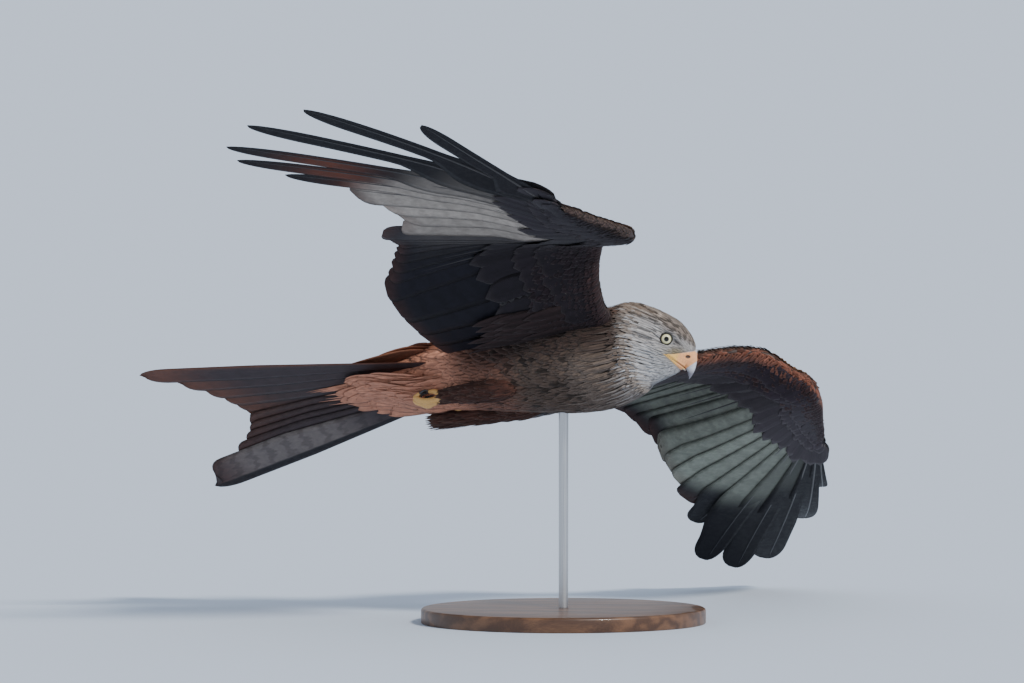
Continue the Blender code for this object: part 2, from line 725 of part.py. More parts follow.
def lidRing(name, centre, aim):
    """Both lids as one ring round the eye."""
    first = np.cross(aim, headUp)
    first = first / np.linalg.norm(first)
    second = np.cross(first, aim)
    rings = []
    for turn in np.arange(lidSteps) * 2 * np.pi / lidSteps:
        out = first * cos(turn) + second * sin(turn)
        circle = [centre + out * (lidRadius + lidThick * cos(a)) + aim * lidThick * sin(a)
                  for a in np.arange(lidSides) * 2 * np.pi / lidSides]
        rings.append(circle)
    points = np.array(rings).reshape(-1, 3)
    faces = []
    for row in range(lidSteps):
        onward = (row + 1) % lidSteps
        for side in range(lidSides):
            beside = (side + 1) % lidSides
            a, b = row * lidSides + side, row * lidSides + beside
            c, d = onward * lidSides + beside, onward * lidSides + side
            faces += [(a, b, c), (a, c, d)]
    return makeObject(name, points, faces)


def prism(name, outline, inner, outer):
    """A flat outline in the head's middle plane, in millimetres, carried sideways."""
    rings = [[headPoint(x, z, y) for x, z in outline] for y in (inner, outer)]
    return makeObject(name, *loft(rings))


def billSeat(name):
    """Room for both bills: a slanted wall behind them and a shelf of chin below."""
    return prism(name, billSeatOutline, -billSeatHalf, billSeatHalf)


def mouthLine(name, side):
    """A slit that follows the cheek from the corner of the mouth to the bill."""
    rings = []
    level = gapeLevel * 1000
    for (x, y), high in ((gapeStart, 0.3), (gapeEnd, 0.45)):
        rings.append([headPoint(x, level + z, side * (y + depth))
                      for depth, z in ((-1.6, 0), (6.0, high), (6.0, -high))])
    return makeObject(name, *loft(rings))


# Trunk and legs

def buildTrunk():
    flesh = smoothRings(fleshRings(), ringSteps)
    neckRow, headRow = ringSteps * neckStart, ringSteps * len(trunkStations)
    trunkRings = flesh[: neckRow + 1].copy()
    trunkRings[-1] = shifted(trunkRings[-1], -gap / 2)
    neckRings = flesh[neckRow: headRow + 1].copy()
    neckRings[0] = shifted(neckRings[0], gap / 2)
    neckRings[-1] = shifted(neckRings[-1], -gap)
    return [makeObject("torso", *loft(trunkRings)), makeObject("neck", *loft(neckRings))]


def buildLeg(tag, side):
    """A feathered thigh along the belly, and a foot tucked back under the tail with its toes clenched."""
    rings = [ovalRing((ahead, out, level), (0, 1, 0), (0, 0, 1), wide, high, high, 14)
             for ahead, out, level, wide, high in thighStations]
    thigh = makeObject("thigh_" + tag, *loft(smoothRings(rings, ringSteps)), side)
    combine(thigh, [trunkCutter("thigh_cutter")], "DIFFERENCE")
    foot = makeObject("foot_" + tag, *tube(tarsusRoute, (tarsusRadius,) * 3), side)
    ankle = np.array(tarsusRoute[-1])
    pieces = [ball("ankle" + tag, ankle * (1, side, 1), ankleSizes, 8, 5)]
    for index, (spread, stretch) in enumerate(zip(toeSpread, toeStretch)):
        route = [ankle + (back * stretch, spread * min(1.0, step / 2), rise)
                 for step, (back, rise) in enumerate(toeCurl)]
        radii = [toeRadius * taper for taper in toeTaper]
        pieces.append(makeObject(f"toe{index}", *tube(route, radii, 5), side))
        claw = [route[-1] + shift for shift in clawRoute]
        pieces.append(makeObject(f"claw{index}", *tube(claw, clawRadii, 4), side))
    hind = [ankle + shift for shift in hindRoute]
    radii = [toeRadius * taper for taper in hindTaper]
    pieces.append(makeObject("hindtoe", *tube(hind, radii, 5), side))
    combine(foot, pieces, "UNION")
    combine(foot, [trunkCutter("foot_cutter")], "DIFFERENCE")
    return [thigh, foot]


# Stand

def buildStand():
    """A round base with softened edges, and one rod up to the belly."""
    mesh = bpy.data.meshes.new("stand_base")
    body = bmesh.new()
    bmesh.ops.create_cone(body, cap_ends=True, segments=baseSides, radius1=baseRadius, radius2=baseRadius,
                          depth=baseThick)
    bmesh.ops.translate(body, vec=(0, 0, baseThick / 2), verts=body.verts)
    body.to_mesh(mesh)
    body.free()
    base = bpy.data.objects.new("stand_base", mesh)
    standCollection.objects.link(base)
    rounding = base.modifiers.new("rounding", "BEVEL")
    rounding.width = baseRound
    rounding.segments = 1
    rounding.limit_method = "ANGLE"
    rodTop = shoulderPlace[2]
    rodMesh = bpy.data.meshes.new("stand_rod")
    body = bmesh.new()
    length = rodTop - baseThick - gap
    bmesh.ops.create_cone(body, cap_ends=True, segments=rodSides, radius1=rodRadius, radius2=rodRadius,
                          depth=length)
    bmesh.ops.translate(body, vec=(0, 0, baseThick + gap + length / 2), verts=body.verts)
    body.to_mesh(rodMesh)
    body.free()
    rod = bpy.data.objects.new("stand_rod", rodMesh)
    standCollection.objects.link(rod)
    return base, rod


def paint(made, colour, roughness, metallic=0.0):
    """The object's own Principled material."""
    finish = bpy.data.materials.new(made.name)
    finish.use_nodes = True
    shader = finish.node_tree.nodes["Principled BSDF"]
    shader.inputs["Base Color"].default_value = (*colour, 1.0)
    shader.inputs["Roughness"].default_value = roughness
    shader.inputs["Metallic"].default_value = metallic
    made.data.materials.clear()
    made.data.materials.append(finish)


birdCollection = bpy.data.collections.new("red_kite")
bpy.context.scene.collection.children.link(birdCollection)
standCollection = bpy.data.collections.new("red_kite_stand")
bpy.context.scene.collection.children.link(standCollection)

birdNodes = buildTrunk() + buildHead() + [buildTail()]
for wingName, wingSpec in wings.items():
    birdNodes += buildWing(wingName, wingSpec).values()
birdNodes += buildLeg("left", 1) + buildLeg("right", -1)

# The empty turns the heading, banks the bird towards the viewer and lifts it over the base
attitude = bpy.data.objects.new("kite_attitude", None)
attitude.rotation_mode = "ZYX"
attitude.rotation_euler = (-bankTilt, 0.0, -headingTurn)
attitude.location = shoulderPlace
birdCollection.objects.link(attitude)
for node in birdNodes:
    node.parent = attitude
bpy.context.view_layer.update()

standBase, standRod = buildStand()
# The rod is cut to the shape of the belly, with the usual gap
belly = trunkCutter("belly_cutter")
belly.parent = attitude
bpy.context.view_layer.update()
combine(standRod, [belly], "DIFFERENCE")

colours = {
    "torso": (0.33, 0.13, 0.07), "neck": (0.42, 0.30, 0.20), "head": (0.42, 0.40, 0.42),
    "bill_upper": (0.75, 0.50, 0.25), "bill_lower": (0.72, 0.50, 0.22), "tail": (0.20, 0.09, 0.05),
    "eye_left": (0.75, 0.70, 0.50), "eye_right": (0.75, 0.70, 0.50),
    "wing_left_arm": (0.10, 0.05, 0.04), "wing_left_hand": (0.05, 0.04, 0.05),
    "wing_right_arm": (0.06, 0.04, 0.05), "wing_right_hand": (0.05, 0.04, 0.05),
    "thigh_left": (0.20, 0.08, 0.05), "thigh_right": (0.20, 0.08, 0.05),
    "foot_left": (0.72, 0.45, 0.15), "foot_right": (0.72, 0.45, 0.15),
    "stand_base": (0.16, 0.08, 0.04), "stand_rod": (0.62, 0.62, 0.62),
}
for node in birdNodes + [standBase, standRod]:
    shiny = node.name.startswith(("eye", "bill"))
    paint(node, colours[node.name], 0.25 if shiny else 0.65, 1.0 if node.name == "stand_rod" else 0.0)
    node.data.shade_smooth()
    node.data.set_sharp_from_angle(angle=radians(35))
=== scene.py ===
from math import cos, pi, radians, sin, tan
import bpy
import numpy as np
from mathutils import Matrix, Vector


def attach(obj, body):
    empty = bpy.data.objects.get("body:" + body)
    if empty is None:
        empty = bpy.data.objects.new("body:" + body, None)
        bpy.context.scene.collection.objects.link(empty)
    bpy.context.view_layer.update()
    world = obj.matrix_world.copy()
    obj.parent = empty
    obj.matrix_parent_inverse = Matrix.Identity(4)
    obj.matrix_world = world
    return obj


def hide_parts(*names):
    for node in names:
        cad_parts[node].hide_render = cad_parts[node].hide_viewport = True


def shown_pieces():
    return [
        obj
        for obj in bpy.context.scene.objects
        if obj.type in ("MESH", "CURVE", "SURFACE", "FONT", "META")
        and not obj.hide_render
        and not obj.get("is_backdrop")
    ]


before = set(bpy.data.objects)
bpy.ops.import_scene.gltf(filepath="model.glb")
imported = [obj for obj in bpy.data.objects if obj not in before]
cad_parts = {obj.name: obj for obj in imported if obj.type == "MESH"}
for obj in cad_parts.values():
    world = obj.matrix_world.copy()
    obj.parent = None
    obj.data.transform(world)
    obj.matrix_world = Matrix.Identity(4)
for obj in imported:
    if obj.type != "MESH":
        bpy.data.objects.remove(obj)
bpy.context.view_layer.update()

print("frame loaded")

attitude = {"place": (0.054, -0.015, 0.300), "heading": 26.0, "bank": 26.0}


def together(*values):
    # arrays or numbers side by side along a new last axis
    return np.stack(np.broadcast_arrays(*values), -1)


def toWorld(points):
    # turned about Z by minus the heading, then about X by minus the bank, then lifted
    h, b = radians(attitude["heading"]), radians(attitude["bank"])
    ahead, left, up = np.moveaxis(points, -1, 0)
    x, y = ahead * cos(h) + left * sin(h), left * cos(h) - ahead * sin(h)
    return together(x, y * cos(b) + up * sin(b), up * cos(b) - y * sin(b)) + attitude["place"]


def shade(red, green, blue):
    # a screen colour, 0 to 255, as linear light
    c = np.array((red, green, blue), float) / 255
    return np.where(c < 0.04045, c / 12.92, ((c + 0.055) / 1.055) ** 2.4)


def ease(x, low, high):
    # 0 at low, 1 at high, an S curve between
    t = np.clip((x - low) / (high - low), 0, 1)
    return t * t * (3 - 2 * t)


def hill(x, middle, width):
    # 1 at the middle, falling off as a bell
    return np.exp(-(((x - middle) / width) ** 2))


def unit(v):
    # vectors of length one
    return v / np.maximum(np.linalg.norm(v, axis=-1, keepdims=True), 1e-12)


def turns(count):
    # angles at equal steps round a circle
    return np.arange(count) * 2 * pi / count


def table(at, columns):
    # rows of a table read at fractional row numbers
    return together(*(np.interp(at, np.arange(len(columns)), column) for column in columns.T))


def smoothRows(rings, steps):
    # Hermite curves through matching points of the rings, with tangents from the neighbours on both sides
    rings = np.array(rings, float)
    spans = np.linalg.norm(np.diff(rings, axis=0), axis=-1).mean(axis=1)
    slopes = np.diff(rings, axis=0) / spans[:, None, None]
    tangents = np.concatenate([slopes[:1], slopes])
    before, after = spans[:-1, None, None], spans[1:, None, None]
    tangents[1:-1] = (slopes[1:] * before + slopes[:-1] * after) / (before + after)
    out = []
    for row, count in enumerate(steps):
        t = (np.arange(count) / count)[:, None, None]
        out.append(rings[row] * (2 * t**3 - 3 * t**2 + 1) + rings[row + 1] * (3 * t**2 - 2 * t**3)
                   + tangents[row] * spans[row] * (t**3 - 2 * t**2 + t)
                   + tangents[row + 1] * spans[row] * (t**3 - t**2))
    return np.concatenate(out + [rings[-1:]])


def lookUp(field, u, v):
    # bilinear reading of a grid whose second direction closes on itself; past either end it runs on straight
    rows, sides = field.shape[:2]
    i, j = np.clip(np.floor(u).astype(int), 0, rows - 2), np.floor(v).astype(int)
    fu, fv = (u - i)[..., None], (v - j)[..., None]
    j, k = j % sides, (j + 1) % sides
    near = field[i, j] * (1 - fv) + field[i, k] * fv
    far = field[i + 1, j] * (1 - fv) + field[i + 1, k] * fv
    return near * (1 - fu) + far * fu


def sleeve(rows, sides, flip, loop):
    # quads round a stack of rings, and a flat end at each side unless the stack closes into a loop
    ring, side = np.arange(rows if loop else rows - 1)[:, None], np.arange(sides)
    corners = [(ring + down) % rows * sides + (side + on) % sides
               for down, on in ((0, 0), (1, 0), (1, 1), (0, 1))]
    found = [np.stack(corners, -1).reshape(-1, 4)]
    if not loop:
        found.append(np.stack([side, side[::-1] + (rows - 1) * sides]))
    return [f[:, ::-1] for f in found] if flip else found


def addObject(name, data):
    made = bpy.data.objects.new(name, data)
    bpy.context.scene.collection.objects.link(made)
    return made


def meshPiece(name, parts, finish, turned=True):
    # each part has points by sleeve, ring and side, and colours and maps that are spread over them
    faces, start, layers = {}, 0, {}
    for part in parts:
        rows, sides = part["points"].shape[-3:-1]
        count = part["points"].size // (3 * rows * sides)
        first = start + np.arange(count)[:, None, None] * rows * sides
        for f in sleeve(rows, sides, part.get("flip"), part.get("loop")):
            faces.setdefault(f.shape[1], []).append((f + first).reshape(-1, f.shape[1]))
        start += count * rows * sides
        for title, size in (("points", 3), ("tint", 3), ("marks", 3), ("featherMap", 2), ("OFBake", 2)):
            if title in part:
                spread = np.broadcast_to(part[title], (*part["points"].shape[:-1], size))
                layers.setdefault(title, []).append(spread.reshape(-1, size))
    layers = {title: np.concatenate(values) for title, values in layers.items()}
    faces = [np.concatenate(f) for f in faces.values()]
    points = toWorld(layers["points"]) if turned else layers["points"]
    loops = np.concatenate([f.ravel() for f in faces]).astype(np.int32)
    sizes = np.concatenate([np.full(len(f), f.shape[1]) for f in faces])
    mesh = bpy.data.meshes.new(name)
    mesh.vertices.add(len(points))
    mesh.vertices.foreach_set("co", points.astype(np.float32).ravel())
    mesh.loops.add(len(loops))
    mesh.loops.foreach_set("vertex_index", loops)
    mesh.polygons.add(len(sizes))
    mesh.polygons.foreach_set("loop_start", np.concatenate([[0], np.cumsum(sizes)[:-1]]).astype(np.int32))
    mesh.update(calc_edges=True)
    for title in ("tint", "marks"):
        if title in layers:
            full = np.concatenate([layers[title], np.ones((len(points), 1))], axis=1).astype(np.float32)
            mesh.color_attributes.new(title, "FLOAT_COLOR", "POINT").data.foreach_set("color", full.ravel())
    for title in ("featherMap", "OFBake"):
        if title in layers:
            corners = layers[title][loops].astype(np.float32)
            mesh.uv_layers.new(name=title).data.foreach_set("uv", corners.ravel())
    mesh.shade_smooth()
    mesh.materials.append(finish)
    made = addObject(name, mesh)
    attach(made, "root")
    return made


# Materials

class Finish:
    # a material, with short ways to add and join its shader nodes
    def __init__(self, name, roughness, **sockets):
        self.material = bpy.data.materials.new(name)
        self.material.use_nodes = True
        self.nodes, self.links = self.material.node_tree.nodes, self.material.node_tree.links
        self.give(Roughness=roughness, **sockets)

    def feed(self, socket, value):
        if isinstance(value, bpy.types.NodeSocket):
            self.links.new(value, socket)
        else:
            socket.default_value = value

    def give(self, **sockets):
        for title, value in sockets.items():
            self.feed(self.nodes["Principled BSDF"].inputs[title.replace("_", " ")], value)

    def add(self, kind, inputs, out=0, **settings):
        # inputs by number or title, each a value or another node's output
        node = self.nodes.new("ShaderNode" + kind)
        for key, value in settings.items():
            setattr(node, key, value)
        for key, value in inputs.items():
            self.feed(node.inputs[key], value)
        return node.outputs[out]

    def split(self, kind, value):
        node = self.nodes.new("ShaderNodeSeparate" + kind)
        self.links.new(value, node.inputs[0])
        return tuple(node.outputs)

    def maths(self, operation, *values):
        return self.add("Math", dict(enumerate(values)), operation=operation)

    def span(self, value, low, high, outLow=0.0, outHigh=1.0):
        ends = {"Value": value, "From Min": low, "From Max": high, "To Min": outLow, "To Max": outHigh}
        return self.add("MapRange", ends, interpolation_type="SMOOTHSTEP")

    def mix(self, share, a, b, way="MIX"):
        a, b = ((*c, 1.0) if isinstance(c, tuple) else c for c in (a, b))
        return self.add("Mix", {0: share, 6: a, 7: b}, 2, data_type="RGBA", blend_type=way)

    def noise(self, place, scale, detail, rough=0.6, stretch=None):
        if stretch:
            place = self.add("Mapping", {"Vector": place, "Scale": stretch})
        return self.add("TexNoise", {"Vector": place, "Scale": scale, "Detail": detail, "Roughness": rough})

    def bump(self, height, strength, distance):
        self.give(Normal=self.add("Bump", {"Height": height, "Strength": strength, "Distance": distance}))

    def objectPlace(self):
        return self.add("TexCoord", {}, "Object")

    def tone(self, colour, amount):
        # a colour made darker or lighter by a number
        return self.mix(1.0, colour, self.add("CombineColor", {0: amount, 1: amount, 2: amount}), "MULTIPLY")


def featherFinish(name, roughness, barbs, bars, sheen, streakWidth, gloss):
    # tint is the feather's own colour, marks are its shaft streak, pale edge and bars
    w = Finish(name, roughness, Sheen_Weight=sheen, Specular_IOR_Level=gloss)
    tint, marks = (w.add("Attribute", {}, attribute_name=title) for title in ("tint", "marks"))
    streaked, edged, barred = w.split("Color", marks)
    vaneMap = w.add("UVMap", {}, uv_map="featherMap")
    across, along, _ = w.split("XYZ", vaneMap)
    side = w.maths("ABSOLUTE", w.maths("MULTIPLY_ADD", across, 2.0, -1.0))
    mottle = w.noise(w.objectPlace(), 160.0, 4.0)
    soft = w.noise(vaneMap, 9.0, 2.0)
    # the streak narrows to the tip and its edge is uneven
    reach = w.maths("MULTIPLY_ADD", soft, 0.25, side)
    streak = w.maths("MULTIPLY", w.span(reach, streakWidth, streakWidth + 0.28, 1.0, 0.0), streaked)
    streak = w.maths("MULTIPLY", streak, w.span(along, 0.90, 1.0, 1.0, 0.0))
    colour = w.mix(streak, tint, w.mix(1.0, tint, (0.24, 0.21, 0.20), "MULTIPLY"))
    rim = w.maths("MAXIMUM", w.span(side, 0.62, 1.0), w.span(along, 0.80, 1.0))
    paler = w.mix(1.0, tint, (0.13, 0.10, 0.075), "ADD")
    colour = w.mix(w.maths("MULTIPLY", rim, edged), colour, paler)
    # bars run across and sweep back a little from the shaft
    swept = w.maths("MULTIPLY_ADD", soft, 0.10, w.maths("MULTIPLY_ADD", side, 0.05, along))
    wave = w.maths("SINE", w.maths("MULTIPLY", swept, bars * 2 * pi))
    band = w.maths("MULTIPLY", w.span(wave, 0.1, 0.8), barred)
    colour = w.mix(band, colour, w.mix(1.0, colour, (0.28, 0.25, 0.25), "MULTIPLY"))
    # barbs lie at a slant on both sides of the shaft
    slant = w.maths("MULTIPLY_ADD", side, -0.16, along)
    lines = w.maths("SINE", w.maths("MULTIPLY", slant, barbs * 2 * pi))
    grain = w.maths("MULTIPLY_ADD", mottle, 0.9, w.maths("MULTIPLY", lines, 0.10))
    w.give(Base_Color=w.tone(colour, w.span(grain, 0.15, 0.85, 0.72, 1.28)))
    w.give(Roughness=w.span(mottle, 0.2, 0.8, roughness - 0.08, roughness + 0.12))
    shaft = w.span(side, 0.03, 0.10, 1.0, 0.0)
    w.bump(w.maths("MULTIPLY_ADD", lines, 0.25, w.maths("MULTIPLY", shaft, 0.8)), 0.35, 0.0004)
    return w.material


def plainFinish(name, roughness, scale, detail, low, high, bumpSize=0.0003, stretch=None, **sockets):
    # tint from the mesh, darkened and lightened by noise between low and high
    w = Finish(name, roughness, **sockets)
    tint = w.add("Attribute", {}, attribute_name="tint")
    grain = w.noise(w.objectPlace(), scale, detail, 0.6, stretch)
    w.give(Base_Color=w.tone(tint, w.span(grain, 0.25, 0.75, low, high)))
    w.give(Roughness=w.span(grain, 0.2, 0.8, roughness * 0.8, min(1.0, roughness * 1.25)))
    w.bump(grain, 0.5, bumpSize)
    return w.material


# roughness, barbs, bars, sheen, streak width, gloss
bodyFinish = featherFinish("bodyFeathers", 0.80, 26.0, 7.0, 0.03, 0.20, 0.22)
neckFinish = featherFinish("neckFeathers", 0.80, 18.0, 7.0, 0.03, 0.34, 0.22)
headFinish = featherFinish("headFeathers", 0.80, 10.0, 7.0, 0.03, 0.36, 0.22)
wingFinish = featherFinish("wingCoverts", 0.66, 34.0, 7.0, 0.06, 0.30, 0.14)
flightFinish = featherFinish("flightFeathers", 0.52, 150.0, 9.0, 0.02, 0.30, 0.12)
tailFinish = featherFinish("tailFeathers", 0.56, 130.0, 13.0, 0.03, 0.30, 0.15)
# roughness, grain to the metre, its detail, darkest and lightest tone, depth of the relief
skinFinish = plainFinish("skin", 0.6, 900.0, 4.0, 0.75, 1.2)
quillFinish = plainFinish("quill", 0.35, 400.0, 3.0, 0.85, 1.15, 0.00005)
eyeFinish = plainFinish("eye", 0.10, 700.0, 2.0, 0.92, 1.08, 0.00002, Specular_IOR_Level=0.2, Coat_Weight=0.4,
                        Coat_Roughness=0.02)
lidFinish = plainFinish("eyelid", 0.55, 2500.0, 3.0, 0.8, 1.15, 0.00012)
billFinish = plainFinish("billHorn", 0.32, 260.0, 4.0, 0.9, 1.08, 0.00008, (1.0, 1.0, 3.0), Coat_Weight=0.35)
footFinish = plainFinish("footScales", 0.5, 900.0, 3.0, 0.82, 1.12, 0.0002)
clawFinish = plainFinish("claw", 0.22, 300.0, 3.0, 0.85, 1.2, 0.00005, Coat_Weight=0.5)

# Body

body = {
    # distance ahead, half width, half height, level, shift to the left
    "stations": ((-0.420, 0.052, 0.0012, -0.023, -0.022), (-0.300, 0.030, 0.0045, -0.013, -0.012),
                 (-0.265, 0.037, 0.0130, -0.010, -0.006), (-0.240, 0.0395, 0.0240, -0.006, -0.002),
                 (-0.215, 0.041, 0.033, -0.004, 0), (-0.190, 0.044, 0.037, -0.005, 0),
                 (-0.165, 0.045, 0.0395, -0.0075, 0), (-0.130, 0.047, 0.041, -0.014, 0),
                 (-0.090, 0.051, 0.045, -0.018, 0), (-0.050, 0.057, 0.050, -0.020, 0),
                 (-0.020, 0.0575, 0.052, -0.020, 0), (0.010, 0.052, 0.050, -0.018, 0),
                 (0.0240, 0.0475, 0.0485, -0.0148, 0)),
    "sides": 192, "trunkSteps": 8, "headSteps": 24,
    # rows of the surface where the vent, the neck and the head start
    "vent": 32, "neck": 88, "head": 104,
}
headFrame = {
    "eye": np.array((0.055, 0.012, -0.006)), "forward": np.array((0.639, 0.560, -0.525)),
    "up": np.array((0.653, -0.038, 0.755)), "left": np.array((-0.4035, 0.827, 0.391)),
    # millimetres of the head frame: top point, bottom point, half width
    "stations": (((-24.0, 20.4), (14.0, -50.0), 24.5), ((-10.0, 22.6), (17.8, -43.0), 19.5),
                 ((1.0, 23.0), (21.5, -36.5), 17.2), ((12.0, 20.4), (24.5, -31.0), 14.6),
                 ((20.9, 16.8), (27.5, -25.6), 12.4), ((27.1, 12.6), (29.6, -21.0), 10.6),
                 ((31.0, 9.2), (30.8, -18.3), 9.2)),
    "mouthStart": 5.4, "mouthLevel": -14.1, "socket": (-1.25, -0.4),
    "nostril": (28.3, -2.8), "nostrilSize": (2.5, 1.6), "nostrilTurn": 35.0,
}


def headPoint(x, z):
    # a place in the head's middle plane, given in millimetres of the head frame
    return headFrame["eye"] + (x * headFrame["forward"] + z * headFrame["up"]) / 1000


def headPlace(points):
    # a place in the bird's frame, in millimetres of the head frame: forward, left, up
    axes = np.linalg.inv(np.stack([headFrame["forward"], headFrame["left"], headFrame["up"]], 1))
    return (points - headFrame["eye"]) * 1000 @ axes.T


def oval(centre, lateral, upward, halfWidth, topReach, lowReach, sides):
    # a ring from its top round by the lateral side, with its own reach above and below the centre
    turn = turns(sides)
    up = np.cos(turn) * np.where(np.cos(turn) > 0, topReach, lowReach)
    return np.array(centre) + np.outer(np.sin(turn) * halfWidth, lateral) + np.outer(up, upward)


def headRing(top, bottom, halfWidth, sides, lateral, widest=0.45):
    # an oval from the top point to the bottom one, widest at a share of the way down
    topPlace, lowPlace = headPoint(*top), headPoint(*bottom)
    height = np.linalg.norm(topPlace - lowPlace)
    return oval(topPlace + (lowPlace - topPlace) * widest, lateral, (topPlace - lowPlace) / height,
                halfWidth / 1000, height * widest, height * (1 - widest), sides)


def fleshGrid():
    # ovals along the trunk, then the head's; the first of the head's is turned halfway to the trunk
    rings = [oval((ahead, shift, level), (0, 1, 0), (0, 0, 1), wide, high, high, body["sides"])
             for ahead, wide, high, level, shift in body["stations"]]
    for index, station in enumerate(headFrame["stations"]):
        lateral = headFrame["left"] if index else unit(headFrame["left"] + (0, 1, 0))
        rings.append(headRing(*station, body["sides"], lateral))
    trunkSpans, headSpans = len(body["stations"]), len(headFrame["stations"]) - 1
    return smoothRows(rings, [body["trunkSteps"]] * trunkSpans + [body["headSteps"]] * headSpans)


def gridNormals(grid):
    # outward normals, and the lengths of a step along and around
    along = np.gradient(grid, axis=0)
    around = (np.roll(grid, -1, 1) - np.roll(grid, 1, 1)) / 2
    return unit(np.cross(along, around)), np.linalg.norm(along, axis=2), np.linalg.norm(around, axis=2)


def nostrilPit(head):
    # 1 inside an oval on each side of the cere: half length and half width in millimetres, turned up forwards
    x, y, z = np.moveaxis(head, -1, 0)
    turn = radians(headFrame["nostrilTurn"])
    dx, dz = x - headFrame["nostril"][0], z - headFrame["nostril"][1]
    along, across = dx * cos(turn) + dz * sin(turn), dz * cos(turn) - dx * sin(turn)
    inside = (along / headFrame["nostrilSize"][0]) ** 2 + (across / headFrame["nostrilSize"][1]) ** 2
    return np.exp(-(inside**2)) * ease(np.abs(y), 2, 4)


def fromEye(head):
    # millimetres from the middle of the eye hollow, seen from the side
    return np.hypot(head[..., 0] - headFrame["socket"][0], head[..., 2] - headFrame["socket"][1])


def fromHead(head):
    # millimetres from the middle of the skull
    return np.linalg.norm(head - (4.0, 0.0, -8.0), axis=-1)


def fromBill(points):
    # millimetres from the bill's root, for a place in the bird's frame
    return np.linalg.norm(headPlace(points) - (32.0, 0.0, -5.0), axis=-1)


def shapeFace(grid):
    # brow ridge, eye hollow, cheek and mouth groove are hills and dips along the surface's own normal
    head = headPlace(grid)
    x, y, z = np.moveaxis(head, -1, 0)
    facing, away = ease(np.abs(y), 3, 9), fromEye(head)
    brow = 1.7 * hill(z - 8.4 + 0.10 * (x - 1), 0, 2.4) * hill(x, 1.0, 9.5) * facing
    hollow = (-0.6 * hill(away, 9.2, 2.6) - 9.0 * ease(away, 6.3, 4.8)) * facing
    cheek = 0.9 * hill(x, -4, 9) * hill(z, -13, 7) * facing
    # the groove lies between two low flanges
    along = ease(x, headFrame["mouthStart"] - 2, headFrame["mouthStart"] + 1) * ease(-z, 8, 11)
    level = headFrame["mouthLevel"] + 0.4 * hill(x, 12, 8)
    groove = -hill(z, level, 0.55) * along * ease(x, 60, 40)
    flange = 0.5 * (hill(z, level + 1.5, 0.9) + 0.8 * hill(z, level - 1.5, 0.9)) * along
    reach = (brow + hollow + cheek + groove + flange - 1.6 * nostrilPit(head)) / 1000 * ease(x, -30, -20)
    return grid + gridNormals(grid)[0] * reach[..., None]


bodyGrid = shapeFace(fleshGrid())
bodyNormals, stepAlong, stepAround = gridNormals(bodyGrid)
gridRows = len(bodyGrid)
print("body surface", bodyGrid.shape)


def bareFace(head):
    # 1 on the bare skin between a line from the gape to the cere's top and one under the mouth
    x, z = head[..., 0], head[..., 2]
    upper = np.interp(x, (3, 8, 13.2, 23, 30.8), (-13.6, -12.0, -9.6, -1.3, 6.1))
    lower = np.interp(x, (3, 15, 28), (-15.0, -16.2, -18.2))
    soft = np.interp(x, (14, 24), (1.6, 0.4))
    return ease(upper - z, -0.6 * soft, soft) * ease(z - lower, -0.5, 0.5) * ease(x, 2.0, 4.0)


colours = {
    "crown": shade(180, 166, 154), "face": shade(188, 184, 182), "throat": shade(184, 184, 186),
    "nape": shade(132, 112, 94), "neck": shade(146, 136, 128), "chest": shade(116, 102, 92),
    "breast": shade(92, 76, 66), "belly": shade(126, 86, 70), "vent": shade(196, 136, 110),
    # flankShade is painted shade for the sides of the trunk under the wings
    "flankShade": shade(52, 38, 36), "mantle": shade(88, 58, 42), "rump": shade(124, 78, 58),
    "lore": shade(146, 134, 106), "dark": shade(44, 38, 36), "gape": shade(236, 186, 98),
    "cere": shade(240, 172, 116), "thigh": shade(72, 44, 36),
}


def blend(tint, colour, share):
    # a colour or its name over the tint, by a share for each place
    colour = colours[colour] if isinstance(colour, str) else colour
    return tint + (colour - tint) * np.asarray(share)[..., None]


def bodyTint(points, normals):
    # blends the body's colours by place: tail to head along X, belly to back by which way the skin faces
    head = headPlace(points)
    ahead, up, away = points[..., 0], normals[..., 2], fromHead(head)
    x, y, z = np.moveaxis(head, -1, 0)
    tint = colours["vent"] + 0 * points
    tint = blend(tint, "belly", ease(ahead, -0.185, -0.135))
    tint = blend(tint, "breast", ease(ahead, -0.125, -0.075))
    tint = blend(tint, "chest", ease(ahead, -0.050, 0.0) * ease(-up, -0.1, 0.6))
    # painted shade: the sides of the trunk under the wings are darkened
    tint = blend(tint, "flankShade", 0.75 * ease(ahead, -0.17, -0.12) * ease(up, -0.55, 0.0))
    above = blend(colours["rump"] + 0 * points, "mantle", ease(ahead, -0.19, -0.12))
    tint = blend(tint, above, ease(up, 0.2, 0.6))
    tint = blend(tint, "neck", ease(away, 74, 52))
    tint = blend(tint, "nape", 0.8 * ease(away, 74, 60) * ease(away, 26, 40) * ease(z, -6, 14))
    skull = blend(colours["face"] + 0 * points, "crown", ease(z, 6, 15))
    tint = blend(tint, blend(skull, "throat", ease(-z, 12, 24)), ease(away, 50, 34))
    # an olive patch between eye and cere, a dark wedge just ahead of the eye, and a dark line under the brow
    # ridge that is painted shadow
    side = ease(np.abs(y), 3, 8)
    tint = blend(tint, "lore", 0.9 * hill(x, 15, 9) * hill(z, -6 + 0.5 * (x - 15), 6.0) * side)
    wedge, brow = hill(x, 10.0, 5.5) * hill(z, 3.0, 2.4), hill(x, 0, 9) * hill(z, 7.4, 1.2)
    return blend(tint, "dark", 0.9 * np.maximum(wedge, 0.6 * brow) * side)


def bareTint(head):
    # yellow at the gape, redder on the cere
    return blend(colours["gape"] + 0 * head, "cere", ease(head[..., 0] + 0.4 * head[..., 2], 13, 19))


def bodyMap(u, v):
    # the body's place on the shared unwrap
    return together(0.02 + 0.46 * u / gridRows, 0.02 + 0.96 * (v / body["sides"] % 1))


